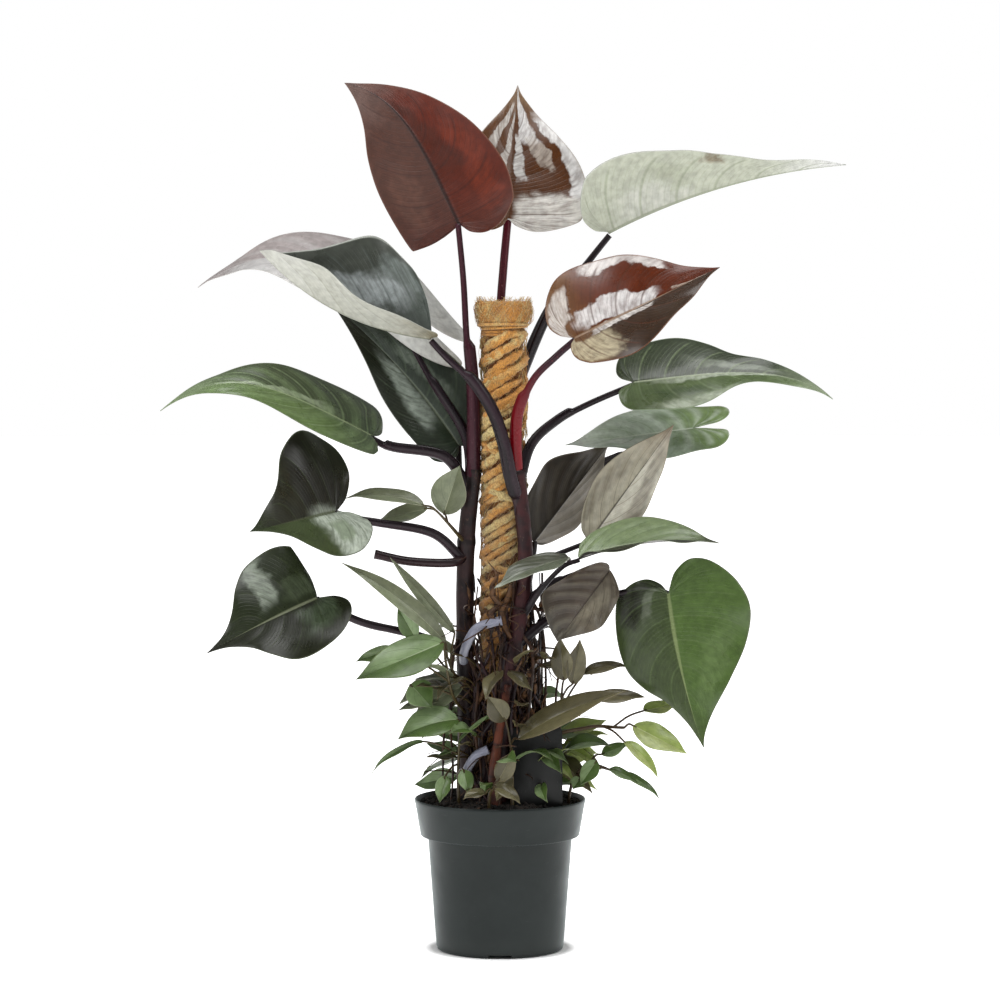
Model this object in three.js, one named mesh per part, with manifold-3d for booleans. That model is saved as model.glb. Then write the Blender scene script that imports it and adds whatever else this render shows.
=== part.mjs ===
// A royal queen philodendron trained up a coir pole, in a round nursery pot.
// Millimetres, +Z up. The origin is the centre of the pot's base, and the plant's front faces -Y.
import * as THREE from "three";
import { mergeVertices } from "three/addons/utils/BufferGeometryUtils.js";
import Module from "manifold-3d";

const wasm = await Module();
wasm.setup();

// Driving dimensions
const GAP = 0.3;
const POT = {
  height: 168,
  rimRadius: 95,
  bandBottomRadius: 88.5,
  bandHeight: 41,
  neckRadius: 80.3,
  footRadius: 70.8,
  wall: 1.8,
  floor: 3,
  channelInner: 50,
  channelHeight: 4,
  notchWidth: 26,
  drainRadius: 5,
  drains: 8,
  sides: 26,
};
const SOIL = { edge: 162, crown: 173, lump: 2.4, slack: 0.2, sides: 16, rings: 3 };
const POLE = { x: 4, y: 0, top: 722, coirBottom: 138, coreRadius: 8, coreBottom: 12, coreTop: 704 };
const COIR = { radius: 23.5, strand: 2.8, turns: 8, sides: 16, steps: 26 };
// The tied neck and the frayed head: how far each ring is below the top, and its radius.
const COIR_HEAD = [[48, 24.5], [39, 23], [33, 20.5], [28, 28], [14, 30.5], [0, 28.5]];
const TAG = { width: 58, height: 112, thickness: 1.2, corner: 4, point: 26 };
const BLADE = { thickness: 0.9, keel: 1.6, rows: 8, columns: [0, 0.3, 0.68, 1] };
const SMALL_BLADE = { thickness: 0.8, keel: 0.4, rows: 5, columns: [0, 1] };
const PETIOLE = { shoulder: 0.82, seat: 0.6, sides: 6 };
const TRIM = 0.1;
const DEGREE = Math.PI / 180;

// Outlines of one half of a blade, from the sinus round the lobe to the tip.
// The first number runs along the midrib, 0 at the petiole and 1 at the tip.
// The second runs across it, 1 at the half's full width.
const OUTLINES = {
  heart: [
    [-0.03, 0.02], [-0.12, 0.12], [-0.18, 0.33], [-0.15, 0.62], [-0.02, 0.9], [0.18, 1],
    [0.4, 0.88], [0.62, 0.56], [0.8, 0.25], [0.92, 0.07], [1, 0],
  ],
  broad: [
    [-0.03, 0.02], [-0.12, 0.12], [-0.18, 0.33], [-0.15, 0.62], [-0.02, 0.88], [0.18, 0.99],
    [0.42, 0.98], [0.64, 0.82], [0.82, 0.5], [0.94, 0.18], [1, 0],
  ],
  drip: [
    [-0.03, 0.02], [-0.12, 0.12], [-0.18, 0.33], [-0.14, 0.62], [0, 0.9], [0.2, 1],
    [0.4, 0.93], [0.54, 0.68], [0.66, 0.36], [0.8, 0.14], [0.92, 0.04], [1, 0],
  ],
  round: [
    [-0.03, 0.02], [-0.14, 0.15], [-0.22, 0.42], [-0.2, 0.75], [-0.06, 0.97], [0.12, 1],
    [0.3, 0.84], [0.46, 0.6], [0.62, 0.36], [0.8, 0.16], [0.92, 0.05], [1, 0],
  ],
  ovate: [
    [-0.01, 0.03], [-0.07, 0.14], [-0.1, 0.36], [-0.06, 0.66], [0.06, 0.92], [0.25, 1],
    [0.46, 0.88], [0.66, 0.56], [0.82, 0.26], [0.93, 0.08], [1, 0],
  ],
  lance: [
    [0, 0.04], [0.01, 0.16], [0.05, 0.42], [0.16, 0.78], [0.33, 1], [0.5, 0.97],
    [0.66, 0.76], [0.8, 0.45], [0.91, 0.18], [0.97, 0.05], [1, 0],
  ],
  tail: [
    [-0.02, 0.03], [-0.1, 0.14], [-0.14, 0.36], [-0.1, 0.68], [0.03, 0.95], [0.2, 1],
    [0.36, 0.8], [0.5, 0.48], [0.66, 0.28], [0.84, 0.16], [1, 0],
  ],
  scoop: [
    [-0.01, 0.03], [-0.03, 0.1], [-0.01, 0.22], [0.08, 0.42], [0.25, 0.62], [0.45, 0.82],
    [0.62, 0.97], [0.76, 1], [0.88, 0.8], [0.96, 0.4], [1, 0],
  ],
};

// What a leaf has unless it says otherwise. Angles are in degrees and pairs are left, right.
// bow and curl lift the midrib towards the face, sweep and hook bend it to the right.
const PLAIN_LEAF = {
  kind: "heart",
  halves: [70, 70],
  bow: 0,
  curl: 0,
  sweep: 0,
  hook: 0,
  fold: [15, 15],
  cup: [-15, -15],
  twist: 0,
  wave: [2, 2, 0],
  lobes: [1, 1],
  lift: [0, 0],
};

// The large leaves: where the petiole joins, where the tip is, and which way the top faces.
// The petiole runs from inside the stem through its points to the base of the blade.
const LEAVES = [
  {
    name: "leaf_01", color: 0x5c342a, kind: ["heart", "broad"], base: [-45, -15, 805],
    tip: [-173, 40, 962], face: [0.1, 1, 0.2], halves: [74, 73],
    hook: -0.12, fold: [18, 14], cup: [-20, -10], lobes: [0.55, 0.1],
    petiole: { color: 0x2e2026, radii: [8.5, 3.4], sheath: 0.55,
      path: [[-30, -8, 520], [-29, -12, 573], [-30, -14, 630], [-35, -15, 687], [-39, -15, 743]] },
  },
  {
    name: "leaf_02", color: 0x554015, base: [9, 40, 812], tip: [20, 100, 963], face: [0.1, -0.88, 0.46],
    halves: [64, 88], fold: [22, 15], cup: [-20, -15], lobes: [0.6, 0.5],
    petiole: { color: 0x6a2030, radii: [8, 4.4], sheath: 0.45,
      path: [[3, 38, 592], [0, 40, 620], [0, 42, 700], [4, 42, 760]] },
  },
  {
    name: "leaf_03", color: 0xa8a890, kind: "tail", base: [120, 25, 796], tip: [387, 60, 872],
    face: [0, 0, 1], halves: [70, 76], bow: 0.05, fold: [35, 72], cup: [-15, -10], lobes: [0.1, 0.5],
    petiole: { color: 0x2a1c22, radii: [7.5, 3.6], sheath: 0.6, seat: 0.7,
      path: [[6, 38, 590], [28, 34, 650], [58, 30, 715], [100, 26, 768]] },
  },
  {
    name: "leaf_04", color: 0x6b3a1c, kind: "ovate", base: [81, -70, 680], tip: [239, -60, 757],
    face: [-0.2, -0.75, 0.6], halves: [77, 70], fold: [20, 20], cup: [-12, -8], lobes: [1.1, 0.6],
    petiole: { color: 0x7c1224, radii: [7.5, 3.6], sheath: 0.5,
      path: [[18, -33, 530], [17, -38, 565], [20, -44, 600], [36, -54, 636], [60, -63, 660]] },
  },
  {
    name: "leaf_05", color: 0x55683f, kind: "tail", base: [148, 10, 630], tip: [370, 20, 611],
    face: [0, -0.65, 0.76], halves: [62, 54], curl: 0.13, fold: [8, 8], cup: [-12, -12], lobes: [0.6, 0.5],
    petiole: { color: 0x261e22, radii: [7, 3.4], sheath: 0.62,
      path: [[20, -31, 520], [34, -14, 563], [64, 4, 590], [97, 10, 607]] },
  },
  {
    name: "leaf_06", color: 0x6e8a66, base: [218, 90, 576], tip: [72, 20, 560],
    face: [0, -0.6, 0.8], halves: [42, 50], fold: [5, 12], cup: [-20, -25], lobes: [1.3, 1.9],
    petiole: { color: 0x261e22, radii: [6.5, 3.2], sheath: 0.5,
      path: [[2, 38, 470], [60, 80, 510], [140, 100, 545], [200, 100, 565]] },
  },
  {
    name: "leaf_07", color: 0x5a5048, kind: "lance", base: [37, 0, 454], tip: [122, 48, 560],
    face: [-0.5, 0.8, 0.4], halves: [40, 50], fold: [10, 15], cup: [-10, -10],
    petiole: { color: 0x261e22, radii: [4.5, 3], sheath: 0.5, path: [[28, -27, 425], [36, -10, 440]] },
  },
  {
    name: "leaf_08", color: 0x7d7562, kind: "lance", base: [98, -18, 456], tip: [192, -8, 584],
    face: [-0.3, 0.9, 0.3], halves: [37, 37], fold: [12, 12], cup: [-10, -10],
    petiole: { color: 0x261e22, radii: [5, 2.8], sheath: 0.4, path: [[27, -29, 430], [56, -26, 440]] },
  },
  {
    name: "leaf_09", color: 0x7f9a6a, kind: "lance", base: [86, -58, 440], tip: [240, -55, 456],
    face: [0, -0.1, 1], halves: [42, 36], bow: 0.06, fold: [38, 12], cup: [-10, -10],
    petiole: { color: 0x261e22, radii: [4.5, 2.6], sheath: 0.4,
      path: [[24, -31, 372], [44, -44, 404], [68, -54, 430]] },
  },
  {
    name: "leaf_10", color: 0x8d9482, kind: "lance", base: [75, -84, 442], tip: [-6, -122, 412],
    face: [0, -0.3, 0.95], halves: [22, 22], bow: 0.05, fold: [15, 15], cup: [-10, -10],
    petiole: { color: 0x261e22, radii: [4, 2.4], sheath: 0.4,
      path: [[26, -31, 418], [38, -40, 434], [54, -54, 443], [68, -71, 441]] },
  },
  {
    name: "leaf_11", color: 0x6b6358, kind: ["lance", "scoop"], base: [120, -50, 426],
    tip: [62, -95, 352], face: [0.5, -0.75, 0.1], halves: [32, 50],
    fold: [12, 12], cup: [-10, -10],
    petiole: { color: 0x261e22, radii: [4.5, 2.6], sheath: 0.4,
      path: [[24, -31, 388], [60, -30, 412], [98, -38, 426]] },
  },
  {
    name: "leaf_12", color: 0x4a6334, kind: ["heart", "drip"], base: [184, -60, 401], tip: [222, -85, 234],
    face: [0.15, -0.9, 0.3], halves: [88, 71], sweep: 0.03, fold: [10, -20], cup: [-12, -40],
    lobes: [1.15, 0.6],
    petiole: { color: 0x261e22, radii: [6, 3.6], sheath: 0.4,
      path: [[16, -34, 340], [66, -26, 378], [130, -36, 400], [168, -46, 404]] },
  },
  {
    name: "leaf_13", color: 0x2f3722, kind: "drip", base: [-200, -60, 396], tip: [-320, -80, 337],
    face: [-0.1, -0.8, 0.5], halves: [64, 76], bow: 0.03, fold: [15, 10], cup: [-20, -10], lobes: [1.2, 0.15],
    petiole: { color: 0x2b2024, radii: [6, 4.4], sheath: 0.4,
      path: [[-38, -8, 330], [-90, -25, 352], [-150, -40, 368], [-185, -48, 385]] },
  },
  {
    name: "leaf_14", color: 0x33382a, kind: ["drip", "round"], base: [-180, -50, 490],
    tip: [-267, -150, 475], face: [0.45, -0.8, 0.35], halves: [62, 96], fold: [35, 5], cup: [-20, -10],
    lobes: [1.3, 1.35],
    petiole: { color: 0x2b2024, radii: [6.5, 4.5], sheath: 0.5,
      path: [[-37, -8, 430], [-72, -18, 464], [-125, -28, 476], [-160, -36, 482]] },
  },
  {
    name: "leaf_15", color: 0x6b875a, kind: ["ovate", "heart"], base: [-141, -5, 571], tip: [-372, -40, 600],
    face: [0, -0.6, 0.8], halves: [40, 58], curl: 0.22, fold: [6, 5], cup: [-15, -10], lobes: [0.3, 0.3],
    petiole: { color: 0x2b2024, radii: [7.5, 3.8], sheath: 0.75,
      path: [[-35, -5, 515], [-62, -8, 550], [-118, -8, 560]] },
  },
  {
    name: "leaf_16", color: 0x4c544c, kind: ["scoop", "lance"], base: [-75, -50, 680],
    tip: [-260, -80, 775], face: [0.1, -0.3, 0.95], halves: [68, 94],
    bow: -0.1, fold: [45, 68], cup: [-5, -20],
    petiole: { color: 0x2a1c22, radii: [8, 3.6], sheath: 0.7,
      path: [[18, -34, 505], [11, -43, 530], [4, -48, 565], [-8, -51, 600], [-30, -52, 634],
        [-58, -51, 660]] },
  },
  {
    name: "leaf_17", color: 0xb0a8a8, base: [-110, 45, 716], tip: [-341, 90, 735],
    face: [0, -0.55, 0.83], halves: [70, 62], bow: 0.22, fold: [10, 10], cup: [-15, -15], lobes: [1.6, 1.6],
    petiole: { color: 0x2a1c22, radii: [7, 3.4], sheath: 0.5,
      path: [[-31, 0, 520], [-38, 8, 572], [-74, 10, 632], [-102, 22, 684]] },
  },
  {
    name: "leaf_18", color: 0x2f3a28, kind: "ovate", base: [-46, 22, 560], tip: [-190, 45, 718],
    face: [-0.3, -0.75, 0.6], halves: [42, 56], sweep: 0.04,
    fold: [15, 15], cup: [-15, -15], lobes: [0.5, 0.5],
    petiole: { color: 0x2b2024, radii: [6, 3.6], sheath: 0.4, path: [[-36, 2, 488], [-44, 18, 524]] },
  },
];

// Stems: the centre line, the radius at each end, and what grows from them besides leaves.
// A root is a thin tube that leaves the stem and goes down into the soil. A stub is a cut petiole.
const ROOT = { radius: 1.5, sides: 4, steps: 6 };
const STUB = { radius: 5, sides: 7, steps: 5 };
const STEMS = [
  {
    name: "stem_left", color: 0x33252a, radii: [11, 9],
    path: [[-30, -16, 70], [-34, -12, 160], [-38, -8, 280], [-39, -6, 400], [-36, -5, 470], [-29, -8, 535]],
    roots: [
      [[-40, -6, 360], [-52, -20, 330], [-56, -28, 260], [-52, -34, 200], [-56, -36, 152]],
      [[-38, -8, 330], [-24, -34, 300], [-26, -42, 250], [-20, -44, 200], [-24, -50, 152]],
      [[-38, -8, 300], [-58, -2, 260], [-62, 4, 210], [-64, 6, 152]],
    ],
    stubs: [
      [[-40, -8, 318], [-39, -32, 336], [-27, -42, 360], [-8, -44, 368], [2, -44, 370]],
      [[-35, -12, 190], [-36, -40, 205], [-26, -52, 222], [-13, -54, 229]],
      [[-38, -8, 438], [-54, -22, 432], [-100, -28, 434], [-138, -30, 442]],
    ],
  },
  {
    name: "stem_right", color: 0x4a2a24, radii: [9.5, 8.5],
    path: [[2, -42, 70], [1, -38, 200], [8, -36, 290], [21, -32, 370], [28, -28, 440], [19, -32, 535]],
    roots: [
      [[26, -30, 400], [44, -24, 370], [52, -20, 300], [46, -26, 230], [54, -30, 152]],
      [[20, -32, 360], [34, -42, 330], [33, -43, 270], [24, -43, 210], [26, -44, 152]],
      [[14, -34, 330], [-5, -44, 300], [-4, -51, 240], [0, -58, 190], [-3, -64, 152]],
      [[26, -30, 385], [60, -18, 372], [66, -14, 320], [62, -20, 270], [66, -22, 152]],
    ],
    stubs: [],
  },
  {
    name: "stem_back", color: 0x3a2b26, radii: [10, 8.5],
    path: [[12, 44, 70], [10, 40, 250], [2, 38, 430], [3, 38, 600]],
    roots: [
      [[8, 40, 420], [30, 44, 380], [40, 40, 300], [36, 44, 220], [44, 50, 152]],
      [[4, 40, 380], [-22, 40, 340], [-34, 30, 260], [-30, 36, 200], [-40, 44, 152]],
    ],
    stubs: [],
  },
];

// Basal shoots, each a spray of small leaves on stalks from one stem.
// A leaf names how far along the stem its stalk starts, then its blade.
const STALK = { radius: 1.2, sides: 3 };
const SHOOTS = [
  {
    name: "shoot_left_top", color: 0x848a68, radii: [2.4, 1.4],
    path: [[-38, -8, 452], [-52, -24, 470], [-66, -30, 486]],
    leaves: [
      {
        at: 1, base: [-84, -34, 496], tip: [-172, -12, 502],
        face: [0, -0.5, 0.85], halves: [12, 14], bow: 0.1,
      },
      { at: 0.7, base: [-62, -20, 486], tip: [-44, -30, 540], face: [-0.3, -0.9, 0.1], halves: [22, 20] },
      { at: 0.9, base: [-80, -22, 492], tip: [-134, -6, 478], face: [0, -0.8, 0.5], halves: [10, 12] },
    ],
  },
  {
    name: "shoot_left_long", color: 0x8a8f74, radii: [2.2, 1.4],
    path: [[-38, -10, 300], [-50, -36, 310], [-58, -44, 330]],
    leaves: [
      {
        at: 1, base: [-60, -48, 346], tip: [-175, -62, 436],
        face: [-0.4, -0.6, 0.6], halves: [10, 12], bow: 0.16,
      },
      {
        at: 0.8, base: [-50, -40, 356], tip: [-122, -34, 440],
        face: [-0.5, -0.5, 0.6], halves: [7, 8], bow: 0.08,
      },
    ],
  },
  {
    name: "shoot_left_bright", color: 0x6f9a5c, radii: [2.2, 1.4],
    path: [[-36, -12, 262], [-52, -46, 288], [-60, -60, 330]],
    leaves: [
      {
        at: 1, base: [-62, -64, 348], tip: [-157, -92, 310],
        face: [-0.2, -0.8, 0.6], halves: [26, 24], lobes: [1, 1],
      },
      { at: 0.85, base: [-92, -58, 352], tip: [-112, -60, 386], face: [-0.2, -1, 0], halves: [11, 11] },
      { at: 0.7, base: [-118, -52, 340], tip: [-158, -56, 326], face: [-0.4, -0.7, 0.5], halves: [10, 9] },
      { at: 0.5, base: [-98, -50, 300], tip: [-74, -64, 276], face: [0, -1, 0.2], halves: [17, 15] },
    ],
  },
  {
    name: "shoot_left_low", color: 0x5f7d3c, radii: [2.4, 1.2],
    path: [[-44, -40, 120], [-46, -44, 200], [-44, -50, 250]],
    leaves: [
      {
        at: 1, base: [-46, -54, 262], tip: [-112, -72, 242],
        face: [-0.2, -0.7, 0.7], halves: [20, 24], bow: 0.1,
      },
      {
        at: 0.7, base: [-84, -40, 236], tip: [-141, -48, 202],
        face: [-0.3, -0.5, 0.8], halves: [6, 6], bow: 0.12,
      },
      { at: 0.6, base: [-60, -56, 200], tip: [-66, -68, 172], face: [-0.3, -1, 0.3], halves: [9, 9] },
      { at: 0.5, base: [-40, -64, 208], tip: [-34, -76, 182], face: [0.3, -1, 0.3], halves: [9, 9] },
    ],
  },
  {
    name: "shoot_front", color: 0x6b6242, radii: [2.6, 1.4],
    path: [[14, -62, 120], [13, -60, 200], [12, -56, 236]],
    leaves: [
      {
        at: 1, base: [20, -66, 242], tip: [137, -92, 298],
        face: [-0.1, -0.6, 0.8], halves: [20, 20], bow: 0.06,
      },
      { at: 0.9, base: [6, -62, 262], tip: [-14, -72, 290], face: [0.1, -1, 0.1], halves: [13, 13] },
      { at: 0.5, base: [10, -70, 206], tip: [-4, -84, 176], face: [-0.2, -1, 0.2], halves: [10, 10] },
    ],
  },
  {
    name: "shoot_right_upright", color: 0x6d7040, radii: [2.4, 1.3],
    path: [[60, -30, 120], [64, -34, 220], [68, -40, 290]],
    leaves: [
      { at: 1, base: [70, -42, 304], tip: [66, -46, 352], face: [-0.4, -1, 0], halves: [13, 13] },
      { at: 0.95, base: [80, -42, 300], tip: [88, -44, 350], face: [0.4, -1, 0], halves: [12, 12] },
      {
        at: 0.85, base: [92, -36, 310], tip: [141, -34, 318],
        face: [0, -0.6, 0.8], halves: [9, 9], bow: 0.12,
      },
      {
        at: 0.75, base: [104, -46, 284], tip: [160, -50, 286],
        face: [0, -0.7, 0.7], halves: [10, 10], bow: 0.06,
      },
    ],
  },
  {
    name: "shoot_right_lime", color: 0x8fa850, radii: [2.8, 1.6],
    path: [[38, -36, 140], [50, -35, 230], [96, -46, 252], [136, -62, 254]],
    leaves: [
      { at: 1, base: [146, -62, 256], tip: [204, -84, 228], face: [-0.1, -0.7, 0.7], halves: [16, 16] },
      { at: 0.9, base: [158, -40, 270], tip: [198, -20, 276], face: [0, -0.6, 0.8], halves: [11, 11] },
      {
        at: 0.8, base: [136, -76, 240], tip: [172, -92, 202],
        face: [0, -0.6, 0.8], halves: [8, 8], bow: 0.14,
      },
    ],
  },
  {
    name: "shoot_right_small", color: 0x5f9a35, radii: [2.2, 1.2],
    path: [[70, -22, 120], [80, -30, 190], [100, -38, 214]],
    leaves: [
      { at: 1, base: [112, -42, 222], tip: [142, -46, 234], face: [0, -0.7, 0.7], halves: [9, 9] },
      { at: 0.95, base: [106, -50, 216], tip: [88, -60, 190], face: [-0.1, -0.9, 0.4], halves: [10, 10] },
      {
        at: 0.85, base: [120, -46, 206], tip: [152, -50, 190],
        face: [0, -0.6, 0.8], halves: [7, 7], bow: 0.1,
      },
      {
        at: 0.8, base: [132, -36, 200], tip: [176, -40, 172],
        face: [0, -0.6, 0.8], halves: [6, 6], bow: 0.14,
      },
      { at: 0.6, base: [88, -46, 196], tip: [80, -62, 186], face: [0, -0.9, 0.4], halves: [8, 8] },
    ],
  },
  {
    name: "shoot_rim", color: 0x77805a, radii: [2.4, 1.4],
    path: [[-12, -70, 120], [-12, -76, 176], [-8, -84, 190]],
    leaves: [
      {
        at: 1, base: [-4, -92, 192], tip: [22, -104, 176],
        face: [-0.1, -0.5, 0.85], halves: [9, 9], bow: 0.15,
      },
      {
        at: 0.9, base: [-16, -92, 186], tip: [-40, -98, 180],
        face: [0, -0.5, 0.85], halves: [8, 8], bow: 0.15,
      },
      { at: 0.8, base: [-2, -82, 198], tip: [16, -84, 232], face: [0.1, -1, 0], halves: [11, 11] },
    ],
  },
  {
    name: "shoot_back", color: 0x64803f, radii: [2.6, 1.4],
    path: [[-14, 62, 120], [-18, 68, 200], [-12, 74, 250]],
    leaves: [
      { at: 1, base: [-10, 78, 262], tip: [20, 130, 292], face: [0.1, 0.3, 1], halves: [20, 20] },
      { at: 0.9, base: [-30, 76, 246], tip: [-92, 104, 252], face: [0, 0.4, 0.9], halves: [18, 18] },
      { at: 0.7, base: [2, 86, 226], tip: [62, 118, 214], face: [0.2, 0.4, 0.9], halves: [16, 16], bow: 0.1 },
      {
        at: 0.5, base: [-40, 72, 202], tip: [-90, 84, 178],
        face: [-0.3, 0.4, 0.9], halves: [12, 12], bow: 0.1,
      },
    ],
  },
];

// Vectors
const vector = (p) => new THREE.Vector3(p[0], p[1], p[2]);

// A point at t, from 0 to 1, on a smooth curve through rows of numbers.
function smooth(rows, t) {
  const at = Math.min(Math.max(t, 0), 1) * (rows.length - 1);
  const i = Math.min(Math.floor(at), rows.length - 2);
  const f = at - i;
  return rows[i].map((_, k) => {
    const b = rows[i][k];
    const c = rows[i + 1][k];
    const a = i > 0 ? rows[i - 1][k] : 2 * b - c;
    const d = i + 2 < rows.length ? rows[i + 2][k] : 2 * c - b;
    const square = 2 * a - 5 * b + 4 * c - d;
    const cube = 3 * b - 3 * c + d - a;
    return 0.5 * (2 * b + (c - a) * f + square * f * f + cube * f * f * f);
  });
}

// Solids
function solidOf(positions, triangles) {
  const geometry = new THREE.BufferGeometry();
  geometry.setAttribute("position", new THREE.Float32BufferAttribute(positions.flat(), 3));
  geometry.setIndex(triangles.flat());
  return solidFromGeometry(geometry);
}

function solidFromGeometry(geometry) {
  const bare = geometry.clone();
  bare.deleteAttribute("normal");
  bare.deleteAttribute("uv");
  const merged = mergeVertices(bare, 1e-3);
  const index = merged.index.array;
  const kept = [];
  for (let i = 0; i < index.length; i += 3) {
    const [a, b, c] = [index[i], index[i + 1], index[i + 2]];
    if (a !== b && b !== c && a !== c) kept.push(a, b, c);
  }
  const mesh = new wasm.Mesh({
    numProp: 3,
    vertProperties: merged.attributes.position.array,
    triVerts: new Uint32Array(kept),
  });
  return new wasm.Manifold(mesh);
}

function geometryOf(solid) {
  const made = solid.getMesh();
  const geometry = new THREE.BufferGeometry();
  geometry.setAttribute("position", new THREE.BufferAttribute(made.vertProperties, 3));
  geometry.setIndex(new THREE.BufferAttribute(made.triVerts, 1));
  geometry.computeVertexNormals();
  return geometry;
}

function largest(solid) {
  const bodies = solid.decompose();
  return bodies.reduce((a, b) => (b.volume() > a.volume() ? b : a));
}

// A closed tube through rings of equal length, each a list of points seen anticlockwise from its end.
function skin(rings) {
  const n = rings[0].length;
  const positions = rings.flat();
  const triangles = [];
  for (let i = 0; i + 1 < rings.length; i++) {
    for (let j = 0; j < n; j++) {
      const a = i * n + j;
      const b = i * n + ((j + 1) % n);
      triangles.push([a, b, b + n], [a, b + n, a + n]);
    }
  }
  const last = (rings.length - 1) * n;
  for (let j = 1; j + 1 < n; j++) {
    triangles.push([0, j + 1, j], [last, last + j, last + j + 1]);
  }
  return solidOf(positions, triangles);
}

// A tube along a list of stations: { t, radius, offset }, with the offset towards its upper side.
function tube(path, stations, sides) {
  const rings = stations.map(({ t, radius, offset = 0 }) => {
    const centre = vector(smooth(path, t));
    const along = vector(smooth(path, Math.min(t + 0.01, 1)))
      .sub(vector(smooth(path, Math.min(t + 0.01, 1) - 0.02)))
      .normalize();
    const upper = new THREE.Vector3(POLE.x - centre.x, POLE.y - centre.y, 60).normalize();
    upper.addScaledVector(along, -upper.dot(along)).normalize();
    const across = new THREE.Vector3().crossVectors(along, upper);
    return Array.from({ length: sides }, (_, k) => {
      const angle = (k / sides) * 2 * Math.PI;
      const point = centre.clone();
      point.addScaledVector(upper, Math.cos(angle) * radius + offset);
      point.addScaledVector(across, Math.sin(angle) * radius);
      return point.toArray();
    });
  });
  return skin(rings);
}

// The midrib's place and directions at x, which runs from 0 at the base to 1 at the tip.
function midrib(leaf, x) {
  const base = vector(leaf.base);
  const chord = vector(leaf.tip).sub(base);
  const length = chord.length();
  const along = chord.clone().normalize();
  const face = vector(leaf.face);
  face.addScaledVector(along, -face.dot(along)).normalize();
  const right = new THREE.Vector3().crossVectors(along, face);
  const inside = Math.min(Math.max(x, 0), 1);
  const near = 4 * inside * (1 - inside);
  const nearSlope = 4 * (1 - 2 * inside);
  const far = 2.1 * (inside - inside ** 4);
  const farSlope = 2.1 * (1 - 4 * inside ** 3);
  const tangent = chord.clone();
  tangent.addScaledVector(face, length * (leaf.bow * nearSlope + leaf.curl * farSlope));
  tangent.addScaledVector(right, length * (leaf.sweep * nearSlope + leaf.hook * farSlope));
  const place = base.clone().addScaledVector(chord, inside);
  place.addScaledVector(face, length * (leaf.bow * near + leaf.curl * far));
  place.addScaledVector(right, length * (leaf.sweep * near + leaf.hook * far));
  place.addScaledVector(tangent, x - inside);
  tangent.normalize();
  const up = face.clone().addScaledVector(tangent, -face.dot(tangent)).normalize();
  up.applyAxisAngle(tangent, -leaf.twist * DEGREE * (inside - 0.5));
  const side = new THREE.Vector3().crossVectors(tangent, up);
  return { place, tangent, up, side };
}

// Where on the midrib the row at t starts. The rows up to FAN all start at the petiole.
const FAN = 0.3;
const ribAt = (t) => (t < FAN ? 0 : ((t - FAN) / (1 - FAN)) ** 1.2);

// Which way a growing outline moves at t, in millimetres along and across the midrib.
function outward(outline, t, length, half) {
  const [nextX, nextWidth] = smooth(outline, Math.min(t + 0.02, 1));
  const [lastX, lastWidth] = smooth(outline, Math.max(t - 0.02, 0));
  return new THREE.Vector2((lastWidth - nextWidth) * half, (nextX - lastX) * length).normalize();
}

// One point of a blade's middle surface: side is -1 or 1, t runs round the outline, v out from the rib.
function bladePoint(leaf, side, t, v, grow) {
  const hand = side < 0 ? 0 : 1;
  const outline = OUTLINES[Array.isArray(leaf.kind) ? leaf.kind[hand] : leaf.kind];
  const [edgeX, edgeWidth] = smooth(outline, t);
  const lobeX = edgeX < 0 ? edgeX * leaf.lobes[hand] : edgeX;
  const half = leaf.halves[hand];
  const length = vector(leaf.tip).distanceTo(vector(leaf.base));
  const edge = outward(outline, t, length, half);
  const base = Math.min(Math.max((1.5 * FAN - t) / (0.5 * FAN), 0), 1);
  const x = ribAt(t) + (lobeX - ribAt(t)) * v ** 1.3;
  const out = Math.max(edgeWidth * half * v + grow * v * edge.y, 0);
  const frame = midrib(leaf, x);
  frame.place.addScaledVector(frame.tangent, grow * (v * edge.x - (1 - v) * base));
  const fold = leaf.fold[hand] * DEGREE;
  const bend = (leaf.cup[hand] || 0.1) * DEGREE / half;
  const across = (Math.sin(fold + bend * out) - Math.sin(fold)) / bend;
  const [waveHeight, waveCount, wavePhase] = leaf.wave;
  const ripple = Math.sin(2 * Math.PI * waveCount * x + wavePhase + 0.7 * hand);
  const margin = v * v * Math.min(1, 3 * edgeWidth);
  const lobe = leaf.lift[hand] * Math.min(Math.max(-x / 0.18, 0), 1) ** 2 * v;
  const height = (Math.cos(fold) - Math.cos(fold + bend * out)) / bend + waveHeight * margin * ripple + lobe;
  return frame.place.addScaledVector(frame.side, side * across).addScaledVector(frame.up, height);
}

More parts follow.
